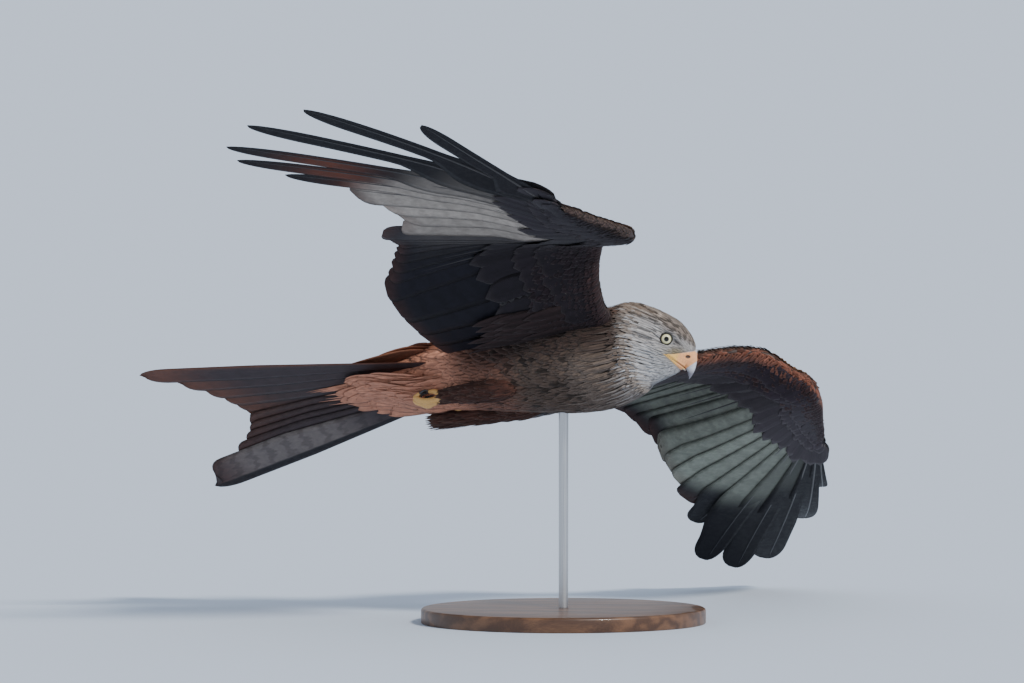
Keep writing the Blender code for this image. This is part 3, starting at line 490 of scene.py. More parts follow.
# depth of the plumage on the body and over bare skin, and on the face by millimetres from the bill
coat = {"body": 0.0042, "bare": 0.0001, "face": ((12, 30, 50), (0.0005, 0.0010, 0.0017))}


def bodySkin():
    # the outer surface drawn in along its normals by the depth of the coat, least on the face
    head = headPlace(bodyGrid)
    bare, onHead = bareFace(head), ease(fromHead(head), 50, 36)
    depth = coat["body"] * (1 - onHead) + np.interp(fromBill(bodyGrid), *coat["face"]) * onHead
    depth = depth * (1 - bare) + coat["bare"] * bare
    depth = depth * (0.2 + 0.8 * ease(bodyGrid[..., 0], -0.33, -0.25))
    tint = blend(bodyTint(bodyGrid, bodyNormals) * 0.7, bareTint(head), bare)
    seam = hill(head[..., 2], headFrame["mouthLevel"], 0.45) * ease(head[..., 0], 2, 4)
    tint = blend(tint, "dark", 0.8 * seam * bare)
    # painted shade: the nostril's hollow is darkened
    tint = blend(tint, "dark", 0.95 * ease(nostrilPit(head), 0.08, 0.4))
    first = body["trunkSteps"]
    return {"points": (bodyGrid - bodyNormals * depth[..., None])[first:], "tint": tint[first:],
            "OFBake": bodyMap(np.arange(first, gridRows)[:, None], np.arange(body["sides"]))}


skinParts = [bodySkin()]

# Feathers

vaneThickness = {"body": 0.00022, "covert": 0.00025, "edge": 0.0002, "thigh": 0.00024, "flight": 0.00045,
                 "tail": 0.0005}


def vaneRing(columns):
    # across -1 to 1 over the top and back below; layer is 1 on top, -1 below, 0 at the two edges
    top, inner = np.linspace(-1, 1, columns), np.ones(columns - 2)
    return np.concatenate([top, top[-2:0:-1]]), np.concatenate([[0], inner, [0], -inner])


def vaneMap(s, across):
    # across and along a vane, each 0 to 1
    return together((across + 1) / 2, s)


def smallVanes(rings, columns, length, width, shape, bend=1.0):
    # share along, share across, layer, reach back and half width: the width grows from two fifths at the root
    # to the widest place and rounds off to the tip
    across, layer = vaneRing(columns)
    s = (np.linspace(0, 1, rings) ** bend)[None, :, None]
    widest, blunt = shape
    fall = np.clip((s - widest) / (1 - widest), 0, 1) ** blunt
    wide = np.maximum((0.4 + 0.6 * ease(s, 0, widest)) * np.sqrt(1 - fall), 0.05)
    return s, across, layer, length[:, None, None] * s, wide * width[:, None, None] / 2


def stiffVane(rings, columns, rounding, blunt, least):
    # share along, closer to the tip, share across, layer, and how the width rounds off over the tip's part
    s = 1 - (1 - np.linspace(0, 1, rings)[:, None]) ** 1.35
    tip = np.sqrt(np.clip(1 - np.clip((s - 1 + rounding) / rounding, 0, 1) ** blunt, least, 1))
    return s, *vaneRing(columns), tip


def shell(s, across, layer, thick):
    # half the vane's thickness up or down, thinner to the tip and to the edges
    return layer * thick / 2 * (1 - 0.6 * s) * (1 - 0.7 * across**2)


def smallPart(points, s, across, tint, marks, spot, flip, root=0.80, gain=0.22):
    # one tint, one set of marks and one spot of the unwrap to a feather; the tint is darker at the root,
    # painted shade under the feathers that overlap it
    place = vaneMap(s, across)
    return {"points": points, "tint": tint[:, None, None] * (root + gain * s)[..., None], "flip": flip,
            "marks": together(*marks)[:, None, None], "featherMap": place,
            "OFBake": spot[:, None, None] + (place - 0.5) * 0.003}


# Plumage on the body

surfaceSteps = together(stepAlong, stepAround)


def bodyRoots(tract, rng):
    # rows a pitch apart along the surface, each row's feathers a pitch apart round it, jittered
    travel = np.concatenate([[0], np.cumsum(stepAlong.mean(axis=1))])[:gridRows]
    first, last = tract["rows"]
    found, place = [], travel[first]
    while place < travel[last]:
        row = np.interp(place, travel, np.arange(gridRows))
        at, alongPitches, aroundPitches = tract["pitch"]
        along, around = np.interp(row, at, alongPitches), np.interp(row, at, aroundPitches)
        travelRound = np.concatenate([[0], np.cumsum(stepAround[int(row)])])
        count = max(8, int(stepAround[int(row)].sum() / around))
        spots = (np.arange(count) + 0.5 * (len(found) % 2) + rng.uniform(-0.28, 0.28, count)) / count
        v = np.interp(spots % 1 * travelRound[-1], travelRound, np.arange(body["sides"] + 1))
        local = lookUp(surfaceSteps, np.full(count, row), v)[:, 0]
        found.append(together(row + rng.uniform(-0.5, 0.5, count) * along / np.maximum(local, 1e-5), v))
        place += along
    return np.concatenate(found)


def layBodyFeathers(name, roots, tract, slot, rng):
    # each feather runs back along the surface from its root and rises from low to high towards its tip
    count, u, v = len(roots), roots[:, 0], roots[:, 1]
    alongStep, aroundStep = np.maximum(lookUp(surfaceSteps, u, v), 1e-4).T
    root = lookUp(bodyGrid, u, v)
    place = tract["measure"](root)
    length = np.interp(place, *tract["length"]) * rng.uniform(0.85, 1.15, count)
    width = np.interp(place, *tract["width"]) * rng.uniform(0.88, 1.12, count)
    s, across, layer, reach, half = smallVanes(*tract["rings"], length, width, tract["shape"], 0.9)
    turn = rng.normal(0, tract["wander"], count)[:, None, None]
    low, high = tract["rise"]
    if slot == "head":
        # the coat thins towards the bill
        low = np.interp(fromBill(root), (12, 30, 50), (-0.0004, -0.0009, low))[:, None, None]
    backward = reach * np.cos(turn) - 0.25 * across**2 * half
    sideways = half * across + turn * reach
    placeU = u[:, None, None] - backward / alongStep[:, None, None]
    placeU = np.clip(placeU, -body["trunkSteps"] * 0.5, gridRows - 1.001)
    placeV = v[:, None, None] + sideways / aroundStep[:, None, None]
    lift = rng.uniform(0.8, 1.25, count)[:, None, None]
    rise = low + (high * lift - low) * (1 - (1 - s) ** 2.2) - 0.04 * half * across**2
    rise = rise + shell(s, across, layer, vaneThickness["body"])
    points = lookUp(bodyGrid, placeU, placeV) + unit(lookUp(bodyNormals, placeU, placeV)) * rise[..., None]
    # the colour is that of the place under the feather's middle; some feathers are dark throughout
    middleU = np.maximum(u - 0.5 * length / alongStep, 0)
    seen = lookUp(bodyGrid, middleU, v)
    tint = bodyTint(seen, unit(lookUp(bodyNormals, middleU, v))) * rng.uniform(0.90, 1.10, count)[:, None]
    tint = tint * np.where(rng.uniform(0, 1, count) < tract["pattern"](seen)[0], 0.36, 1.0)[:, None]
    streaked, plainEdge, edged = tract["pattern"](root)[1:]
    streak = streaked * rng.uniform(*tract["streak"], count)
    edge = plainEdge + edged * rng.uniform(*tract["edge"], count)
    part = smallPart(points, s, across, tint, (streak, edge, 0.0), bodyMap(u, v), True)
    meshPiece(name, [part], tract["finish"])


def clearOfEyeAndBill(roots, tract):
    # keeps a feather if its root, middle and tip all miss the eye, and its root the bare skin
    u, v = roots.T
    start = lookUp(bodyGrid, u, v)
    length = np.interp(tract["measure"](start), *tract["length"])
    step = np.maximum(lookUp(surfaceSteps, u, v)[:, 0], 1e-4)
    keep = bareFace(headPlace(start)) < 0.4
    for share in (0, 0.25, 0.5, 0.75, 1.0):
        place = headPlace(lookUp(bodyGrid, np.maximum(u - share * length / step, 0), v))
        keep &= (fromEye(place) > 7.0) | (np.abs(place[:, 1]) < 5)
    return keep


# Each pattern gives the share of dark feathers, the streak, the least pale edge and what comes on top of it

def headPattern(points):
    # the crown and nape are streaked, the face is nearly plain
    x, _, z = np.moveaxis(headPlace(points), -1, 0)
    crown = np.clip(ease(z, 5, 13) + ease(-x, 8, 26), 0, 1)
    dark = np.clip(ease(z, 6, 13) + ease(-x, 10, 26) * ease(z, -8, 6), 0, 1)
    return 0.02 + 0.40 * dark, 0.10 + 0.90 * crown, 0.05, 0.6 * crown


def neckPattern(points):
    # the grey throat is nearly plain, the nape and sides of the neck are streaked
    head = headPlace(points)
    plain = ease(-head[:, 2], 14, 30) * ease(fromHead(head), 62, 40)
    return 0.04 + 0.28 * ease(head[:, 2], -14, 6), 1 - 0.75 * plain, 0.0, 1 - 0.6 * plain


def trunkPattern(points):
    # the breast is streaked and has scattered dark feathers, the vent is plain
    ahead = points[:, 0]
    return 0.14 * ease(ahead, -0.17, -0.08), ease(ahead, -0.19, -0.14), 0.0, 1.0


def distanceAhead(points):
    return points[:, 0]


# rows of the surface, the pitch along it and around it by row, and length and width by the measure
plumage = {
    "head": {
        "seed": 11, "pieces": ("headPlumage",), "rows": (body["head"] + 8, gridRows - 2), "rings": (6, 3),
        "pitch": ((104, 150, 200, 247), (0.0034, 0.0024, 0.0018, 0.0012), (0.0019, 0.0015, 0.0012, 0.0009)),
        "measure": fromBill, "length": ((8, 16, 32, 50, 70), (0.0024, 0.0042, 0.0085, 0.0130, 0.0170)),
        "width": ((8, 32, 60), (0.0011, 0.0017, 0.0026)), "rise": (-0.0012, 0.0003), "shape": (0.30, 1.3),
        "wander": 0.05, "finish": headFinish, "pattern": headPattern, "streak": (0.5, 1.0), "edge": (0, 1)},
    "neck": {
        "seed": 12, "pieces": ("neckPlumage",), "rows": (body["neck"] - 4, body["head"] + 22),
        "rings": (7, 5), "pitch": ((84, 126), (0.0062, 0.0040), (0.0048, 0.0026)),
        "measure": fromBill, "length": ((40, 60, 100), (0.0125, 0.0180, 0.0240)),
        "width": ((40, 100), (0.0026, 0.0056)), "rise": (-0.0034, 0.0008), "shape": (0.30, 1.3),
        "wander": 0.045, "finish": neckFinish, "pattern": neckPattern, "streak": (0.3, 0.8),
        "edge": (0.1, 0.45)},
    "torso": {
        "seed": 13, "pieces": ("backPlumage", "bellyPlumage"), "rows": (body["vent"] - 16, body["neck"]),
        "rings": (6, 5), "pitch": ((0, 1), (0.0066, 0.0066), (0.0056, 0.0056)),
        "measure": distanceAhead, "length": ((-0.27, -0.16, -0.09, 0.01), (0.034, 0.032, 0.028, 0.024)),
        "width": ((-0.27, -0.10, 0.01), (0.0100, 0.0112, 0.0092)), "rise": (-0.0044, 0.0006),
        "shape": (0.42, 1.7), "wander": 0.06, "finish": bodyFinish, "pattern": trunkPattern,
        "streak": (0.3, 1.0), "edge": (0.05, 0.35)},
}
for slot, tract in plumage.items():
    rng = np.random.default_rng(tract["seed"])
    roots = bodyRoots(tract, rng)
    if slot == "head":
        roots = roots[clearOfEyeAndBill(roots, tract)]
    onBack = np.cos(roots[:, 1] / body["sides"] * 2 * pi) > 0.15
    groups = (roots[onBack], roots[~onBack]) if len(tract["pieces"]) == 2 else (roots,)
    for name, chosen in zip(tract["pieces"], groups):
        layBodyFeathers(name, chosen, tract, slot, rng)
    print(slot, "plumage", len(roots))

# Wings, in a wing frame: X ahead, Y out from the body, Z up

# lifts: for a primary, where it starts to rise, how strongly, and its sag; sags: the same for its coverts;
# fingers: where each of the last six primaries narrows; trim and inner: changes in length, hand and arm
wings = {
    "Right": {"side": -1, "wrist": (0.133, 0.229), "handAngle": 72.0, "rise": 0.030,
              "arch": (0.046, 0.167, 0.075, 0.075), "secondaryAngles": (25.0, 4.0),
              "primaryAngles": (27.0, 30.5, 33.5, 36.5, 39.0, 41.5, 45.0, 53.0, 64.0, 80.5),
              "lifts": {9: (0.15, -0.10, 0.15), 10: (0.05, -0.45, 0.90)}, "sags": (0.15, 0.90),
              "fingers": (0.62, 0.55, 0.52, 0.50, 0.47, 0.40), "fingerWidths": (0.0080, 0.0130),
              "trim": (-0.004, -0.010, -0.017, -0.022, 0, 0, 0, 0, 0, 0),
              "inner": (-0.010, -0.015, -0.011, 0.010), "rounding": (0.20, 0.20)},
    "Left": {"side": 1, "wrist": (0.130, 0.222), "handAngle": 66.0, "rise": 0.0,
             "arch": (0.038, 0.210, 0.090, 0.045), "secondaryAngles": (20.0, 4.0),
             "primaryAngles": (22.0, 26.5, 31.5, 37.0, 42.0, 46.5, 52.0, 57.0, 62.5, 67.0),
             "lifts": {6: (0.19, -0.50, 0), 7: (0.20, -0.40, 0), 9: (0.16, 1.1, 0), 10: (0.10, 2.3, 0)},
             "sags": (0.0, 0.0), "fingers": (0.86, 0.86, 0.84, 0.80, 0.60, 0.44),
             "fingerWidths": (0.0125, 0.0240), "trim": (0.005, 0.004, 0.002, 0, 0, 0, 0, 0, -0.047, -0.062),
             "inner": (0.0, 0.0, -0.009, -0.015), "rounding": (0.11, 0.28)},
}
# how pale each primary's window is, and where along the feather it ends, first to tenth
window = {"pale": (0.85, 0.95, 1.0, 1.0, 0.95, 0.85, 0.55, 0.25, 0.0, 0.0),
          "Right": (1.2, 1.2, 1.1, 1.0, 0.78, 0.60, 0.50, 0.40, 0.3, 0.3),
          "Left": (1.2, 1.2, 1.1, 0.90, 0.72, 0.66, 0.60, 0.48, 0.3, 0.3),
          "secondaries": {"Right": 0.12, "Left": 0.62},
          "colour": {"Right": shade(160, 150, 140), "Left": shade(134, 138, 126)},
          "arm": shade(30, 29, 36), "hand": shade(17, 15, 21), "warm": shade(142, 76, 50),
          "tip": shade(110, 70, 56)}
wingSizes = {
    "shoulder": (0.0, 0.045), "elbow": (0.0, 0.162), "handLength": 0.110, "archSlope": 0.35,
    "secondaries": 12, "tertials": 4, "primaries": 10, "armTilt": 2.4, "handTilt": 1.6, "handStep": 0.0003,
    "handDrop": 0.0015, "sagSpan": 0.245,
    "primaryLengths": (0.236, 0.245, 0.261, 0.290, 0.330, 0.376, 0.386, 0.376, 0.342, 0.245),
    # the innermost's length, its growth outwards and the dip half-way
    "secondaryLengths": (0.202, 0.048, 0.04), "tertialLengths": (0.185, 0.015, 0.0),
}
# widths before and behind the shaft as shares of the room to the next feather, and the most they may be
vaneSizes = {"lead": (0.50, 0.013), "trail": (1.42, 0.034), "leastRoom": 0.006, "root": 0.35,
             "grownFrom": 0.020, "grownOver": 0.050, "bow": 0.10, "quill": 0.0017, "quillTip": 0.00022}


def sheetHeight(wing, plan):
    # a bell-shaped arch along the arm, then a straight rise to the tip
    ahead, out = np.moveaxis(plan, -1, 0)
    height, middle, innerWidth, outerWidth = wing["arch"]
    beside = out - middle + wingSizes["archSlope"] * ahead
    bell = hill(beside, 0, np.where(beside < 0, innerWidth, outerWidth))
    beyond = np.maximum(0, out - 0.25 - 0.9 * np.maximum(ahead, 0))
    return height * bell + wing["rise"] * (1 - np.exp(-beyond / 0.13))


def onSheet(wing, plan, height):
    # a plan and its height as places in the bird's frame
    return np.concatenate([plan, height[..., None]], -1) * (1, wing["side"], 1)


def heading(angle):
    # along a feather and across it towards the wing tip, for an angle out from straight back
    turn = np.radians(angle)
    return together(-np.cos(turn), np.sin(turn)), together(np.sin(turn), np.cos(turn))


def flightFeathers(wing):
    # from the innermost tertial to the last primary, with roots along the bones
    sizes = wingSizes
    shoulder, elbow, wrist = (np.array(p) for p in (sizes["shoulder"], sizes["elbow"], wing["wrist"]))
    tertial = ((np.arange(sizes["tertials"]) + 1.2) / (sizes["tertials"] + 0.8))[:, None]
    secondary = ((np.arange(sizes["secondaries"]) + 0.5) / sizes["secondaries"])[:, None]
    primary = (0.1 + 0.1 * np.arange(sizes["primaries"]))[:, None]
    bone = heading(wing["handAngle"])[0] * sizes["handLength"]
    roots = np.concatenate([shoulder + (elbow - shoulder) * tertial, elbow + (wrist - elbow) * secondary,
                            wrist + bone * primary])
    first, last = wing["secondaryAngles"]
    angles = np.concatenate([-3.0 + 6.5 * tertial[:, 0], last + (first - last) * secondary[:, 0] ** 1.2,
                             wing["primaryAngles"]])
    rows = (tertial, sizes["tertialLengths"]), (secondary, sizes["secondaryLengths"])
    lengths = [(first + growth * t - dip * t * (1 - t))[:, 0] for t, (first, growth, dip) in rows]
    lengths = np.concatenate([*lengths, np.add(sizes["primaryLengths"], wing["trim"])])
    count = len(roots)
    hand = np.arange(count) - (count - sizes["primaries"])
    # the arm's feathers are a little longer or shorter, as each wing shows them
    lengths[hand < 0] += np.interp(np.arange(count)[hand < 0], (0, 4, 9, 15), wing["inner"])
    inner, outer = np.maximum(np.arange(count) - 1, 0), np.minimum(np.arange(count) + 1, count - 1)
    along, across = heading(angles)
    start = np.abs(((roots[outer] - roots[inner]) * across).sum(axis=1)) / (outer - inner)
    spread = np.sin(np.radians(np.abs(angles[outer] - angles[inner]))) / (outer - inner)
    # the tips' slant follows the line through the neighbours' tips, so that the rear edge runs on
    tips = roots + along * lengths[:, None]
    line = tips[outer] - tips[inner]
    slant = (line * along).sum(axis=1) / np.maximum((line * across).sum(axis=1), 0.004)
    slant = np.clip(slant, -0.30, 0.65) * np.interp(hand, (2, 3, 4, 5), (1.0, 0.9, 0.3, 0.0))
    return {"roots": roots, "angles": angles, "lengths": lengths, "hand": hand, "start": start,
            "spread": spread, "slant": slant,
            "stack": np.where(hand >= 0, -sizes["handDrop"] - sizes["handStep"] * hand, 0.0),
            "tilt": np.tan(np.radians(np.where(hand >= 0, sizes["handTilt"], sizes["armTilt"])))}


def flightPigment(tag, hand, index, s, across, upper):
    # colours of one flight feather by place: blackish, with the pale window of the hand fading out to the tip
    inner = ease(-across, -0.35, 0.35)
    if hand < 0:
        dark = window["arm"]
        share = window["secondaries"][tag] * ease(index, 5, 11) * (0.85 + 0.15 * inner)
        pale = share * ease(s, 0.25, 0.45) * ease(s, 0.96, 0.82)
    else:
        dark, end = window["hand"], window[tag][hand]
        pale = window["pale"][hand] * ease(s, end + 0.05, end - 0.10) * (0.86 + 0.14 * inner)
        if hand in (4, 5, 6) and tag == "Right":
            dark = blend(dark, window["warm"], 0.42 * hill(s, 0.72, 0.12) * ease(-across, -1.0, 0.2))
    # the window is much duller on the upper side
    tint = blend(dark, window["colour"][tag], pale * (1 - 0.6 * upper))
    return blend(tint, window["tip"], ease(s, 0.90, 1.0) * (0.25 if hand < 4 else 0.0))


def flightVane(tag, wing, feather, index, rings=34, columns=9):
    # a thin slat on the wing's sheet, its leading edge higher, bowed, and notched where the fingers narrow
    length, hand, sizes = feather["lengths"], int(feather["hand"]), vaneSizes
    rounding = 0.085 if hand < 4 else wing["rounding"][1 if hand >= 8 else 0]
    s, across, layer, tip = stiffVane(rings, columns, rounding, 3.6 if hand < 4 else 2.2, 0.0016)
    reach = s * length
    room = np.maximum(feather["start"] + feather["spread"] * reach, sizes["leastRoom"])
    grow = np.clip((reach - sizes["grownFrom"]) / sizes["grownOver"], 0, 1)
    grow = sizes["root"] + (1 - sizes["root"]) * grow
    lead, trail = (np.minimum(share * room, most) * grow for share, most in (sizes["lead"], sizes["trail"]))
    if hand >= 4:
        finger = wing["fingers"][hand - 4]
        narrow = ease(s, finger - 0.14, finger + 0.05)
        lead, trail = (full + (np.minimum(full, least) - full) * narrow
                       for full, least in zip((lead, trail), wing["fingerWidths"]))
    side = across * np.where(across < 0, trail * tip, lead * tip)
    along, beside = heading(feather["angles"])
    bow = sizes["bow"] * reach * (length - reach)
    cut = feather["slant"] * side * ease(s, 0.55, 0.95)
    plan = feather["roots"] + along * (reach + cut)[..., None] + beside * (side + bow)[..., None]
    start, strength, sag = wing["lifts"].get(hand + 1, (0.0, 0.0, 0.0))
    lift = strength * np.maximum(0, reach - start) ** 2 - sag * reach * (length - reach)
    height = sheetHeight(wing, plan) + feather["stack"] + lift + feather["tilt"] * side - 0.0005 * across**2
    thick = vaneThickness["flight"] * (1 - 0.65 * s) * (1 - 0.6 * np.abs(across))
    points = onSheet(wing, plan, height + layer * thick / 2)
    # the unwrap has a strip for each feather, in two rows of thirteen to a wing
    bake = together(0.52 + (index % 13 + 0.35 * (across + 1)) / 13 * 0.46,
                    0.50 + index // 13 * 0.12 + 0.099 * s + (0.24 if wing["side"] > 0 else 0.0))
    vane = {"points": points, "tint": flightPigment(tag, hand, index, s, across, layer > 0), "OFBake": bake,
            "featherMap": vaneMap(s, across), "marks": (0.0, 0.02, 0.16 if hand < 6 else 0.0),
            "flip": wing["side"] > 0}
    # quill: a tapered tube along the middle line
    share, turn = np.linspace(0, 0.97, 18), turns(6)
    middle = together(*(np.interp(share, s[:, 0], column) for column in points[:, (columns - 1) // 2].T))
    radius = (sizes["quill"] * (1 - share) ** 0.8 + sizes["quillTip"])[:, None, None]
    around = np.outer(np.cos(turn), (*beside * (1, wing["side"]), 0)) + np.outer(np.sin(turn), (0, 0, 1))
    tint = blend(shade(52, 46, 44), shade(22, 20, 22), np.linspace(0, 1, 18)[:, None])
    return vane, {"points": middle[:, None] + radius * around, "tint": tint, "flip": wing["side"] < 0}


def buildFlight(tag, wing):
    # a vane and its quill for each feather, some a little darker or lighter than the others
    feathers = wing["feathers"]
    count = len(feathers["roots"])
    pairs = [flightVane(tag, wing, {key: value[index] for key, value in feathers.items()}, index)
             for index in range(count)]
    vanes, quills = zip(*pairs)
    for vane, tone in zip(vanes, np.random.default_rng(21).uniform(0.9, 1.1, count)):
        vane["tint"] = vane["tint"] * tone
    meshPiece("flightFeathers" + tag, vanes, flightFinish)
    meshPiece("quills" + tag, quills, quillFinish)


wingFlesh = {
    # front, rear, thickness, level
    "arm": (((0.026, 0.012), (-0.100, 0.012), 0.024, 0), ((0.020, 0.048), (-0.102, 0.048), 0.023, 0),
            ((0.030, 0.098), (-0.088, 0.102), 0.020, 0), ((0.068, 0.158), (-0.048, 0.160), 0.017, 0),
            ((0.110, 0.205), (0.018, 0.207), 0.0170, 0)),
    # share of the hand's length, depth to the rear, the angle that way, thickness, level
    "hand": ((0.30, 0.040, 38, 0.014, -0.0008), (0.6, 0.032, 50, 0.0105, -0.0015),
             (0.88, 0.022, 58, 0.008, -0.0022), (1.06, 0.008, 62, 0.004, -0.0028)),
    "steps": 16, "across": 17, "skinShare": 0.78,
    # how full the flesh is over and under, as a share of its thickness, by distance behind the leading edge
    "at": (0.0, 0.02, 0.07, 0.16, 0.30, 0.66, 1.0, 1.5, 2.5),
    1: (0, 0.58, 0.84, 0.96, 1.0, 0.86, 0.45, 0.24, 0.20),
    -1: (0, 0.58, 0.84, 0.96, 1.0, 0.86, 0.50, 0.36, 0.34),
}
wristRow = wingFlesh["steps"] * len(wingFlesh["arm"])


def wingStations(wing):
    # leading edge, rear, thickness and level along the span, with arm and hand in one run
    wrist = np.array(wing["wrist"])
    back = heading(wing["secondaryAngles"][0] + 1.0)[0]
    bone, ahead = heading(wing["handAngle"])
    rows = [*wingFlesh["arm"], (wrist + back * 0.001, wrist + back * 0.050, 0.020, 0)]
    for share, rear, swing, thick, level in wingFlesh["hand"]:
        place = wrist + bone * wingSizes["handLength"] * share
        rows.append((place + ahead * min(0.006, rear * 0.5), place + heading(swing)[0] * rear, thick, level))
    grid = smoothRows([((*front, 0), (*rear, 0), (thick, level, 0)) for front, rear, thick, level in rows],
                      [wingFlesh["steps"]] * (len(rows) - 1))
    front, chord = grid[:, 0, :2], grid[:, 1, :2] - grid[:, 0, :2]
    depth = np.linalg.norm(chord, axis=1, keepdims=True)
    return np.concatenate([front, chord, depth, grid[:, 2, :2]], axis=1)


def atlas(side, row, x, y):
    # each wing face has its own square of the unwrap, x along the span and y back from the leading edge
    column = 0 if side > 0 else 1
    x, y = 0.96 * np.clip(x, 0, 1), 0.96 * np.clip(y, 0, 1)
    return together(0.52 + 0.23 * (column + x), 0.02 + 0.24 * (row + y))


def wingSkin(wing):
    # front over the top to the rear and back below, thinner than the solids by the depth of the coverts
    stations = wing["stations"]
    share = np.linspace(0, 1, wingFlesh["across"]) ** 1.6
    share = np.concatenate([share, share[-1:0:-1]])
    below = np.arange(len(share)) >= wingFlesh["across"]
    over, under = (np.interp(share, wingFlesh["at"], wingFlesh[face]) for face in (1, -1))
    plan = stations[:, None, :2] + stations[:, None, 2:4] * (0.012 + 0.96 * share)[:, None]
    full = np.where(below, -under, over) * wingFlesh["skinShare"]
    height = sheetHeight(wing, plan) + stations[:, 6:7] + stations[:, 5:6] / 2 * full
    span = np.linspace(0, 1, len(stations))[:, None]
    bake = np.where(below[:, None], atlas(wing["side"], 0, span, share), atlas(wing["side"], 1, span, share))
    return {"points": onSheet(wing, plan, height), "OFBake": bake, "flip": wing["side"] < 0,
            "tint": np.where(below[:, None], shade(46, 36, 36), shade(60, 45, 40))}


covertTints = {
    # under and over the wing, from the leading edge back; the near (right) wing's underside colours are
    # darker, which is painted shade
    "underEdge": {"Right": shade(60, 42, 42), "Left": shade(150, 98, 80)},
    "underLesser": {"Right": shade(44, 32, 36), "Left": shade(64, 42, 42)},
    "underMedian": {"Right": shade(38, 31, 36), "Left": shade(52, 42, 50)},
    "underGreater": {"Right": shade(36, 31, 36), "Left": shade(60, 54, 58)},
    "underHand": {"Right": shade(42, 36, 42), "Left": shade(62, 54, 60)},
    "topEdge": shade(56, 46, 44), "topLesser": shade(98, 68, 52), "topMedian": shade(158, 118, 84),
    "topGreater": shade(74, 56, 48), "topHand": shade(44, 38, 40), "topGap": shade(96, 62, 46),
    "underGap": shade(50, 36, 36),
}
coverts = {
    # lesser coverts: where their rows begin and end behind the leading edge, and pairs of a size at the edge
    # and its growth with the distance behind it; band is the pale edge's depth and how much it narrows
    "lesser": {"rows": (0.0012, 0.062), "rowPitch": (0.0042, 0.05), "pitch": (0.0046, 0.045),
               "length": (0.0085, 0.20), "width": (0.0052, 0.10), "rise": (0.0006, 0.0030),
               "band": (0.0105, 0.0040)},
    # name, roots behind the bone line, length, least width, rise from root to tip, feathers to a quill
    "tracts": (("Greater", 0.012, 0.078, 0.0215, (0.0004, 0.0016), 1),
               ("Median", -0.006, 0.052, 0.0150, (0.0012, 0.0026), 2),
               ("Median", -0.014, 0.036, 0.0125, (0.0016, 0.0032), 2)),
    # the long ones at the trunk and the alula's three feathers
    "gap": {"count": 36, "out": (0.014, 0.092), "ahead": 0.006, "step": 0.017, "length": (0.112, 0.074),
            "width": 0.017, "rise": (0.0014, 0.0040)},
    "alula": {"lengths": (0.085, 0.070, 0.056), "width": 0.013, "rise": (0.0012, -0.0035)},
    "leastFlesh": {1: 0.0016, -1: 0.0026},
    # how strong the pale edges are, over and under the wing
    "edges": {"lesser": {1: 0.45, -1: 0.12}, "tracts": {1: 0.35, -1: 0.10}, "gap": {1: 0.4, -1: 0.06}},
}


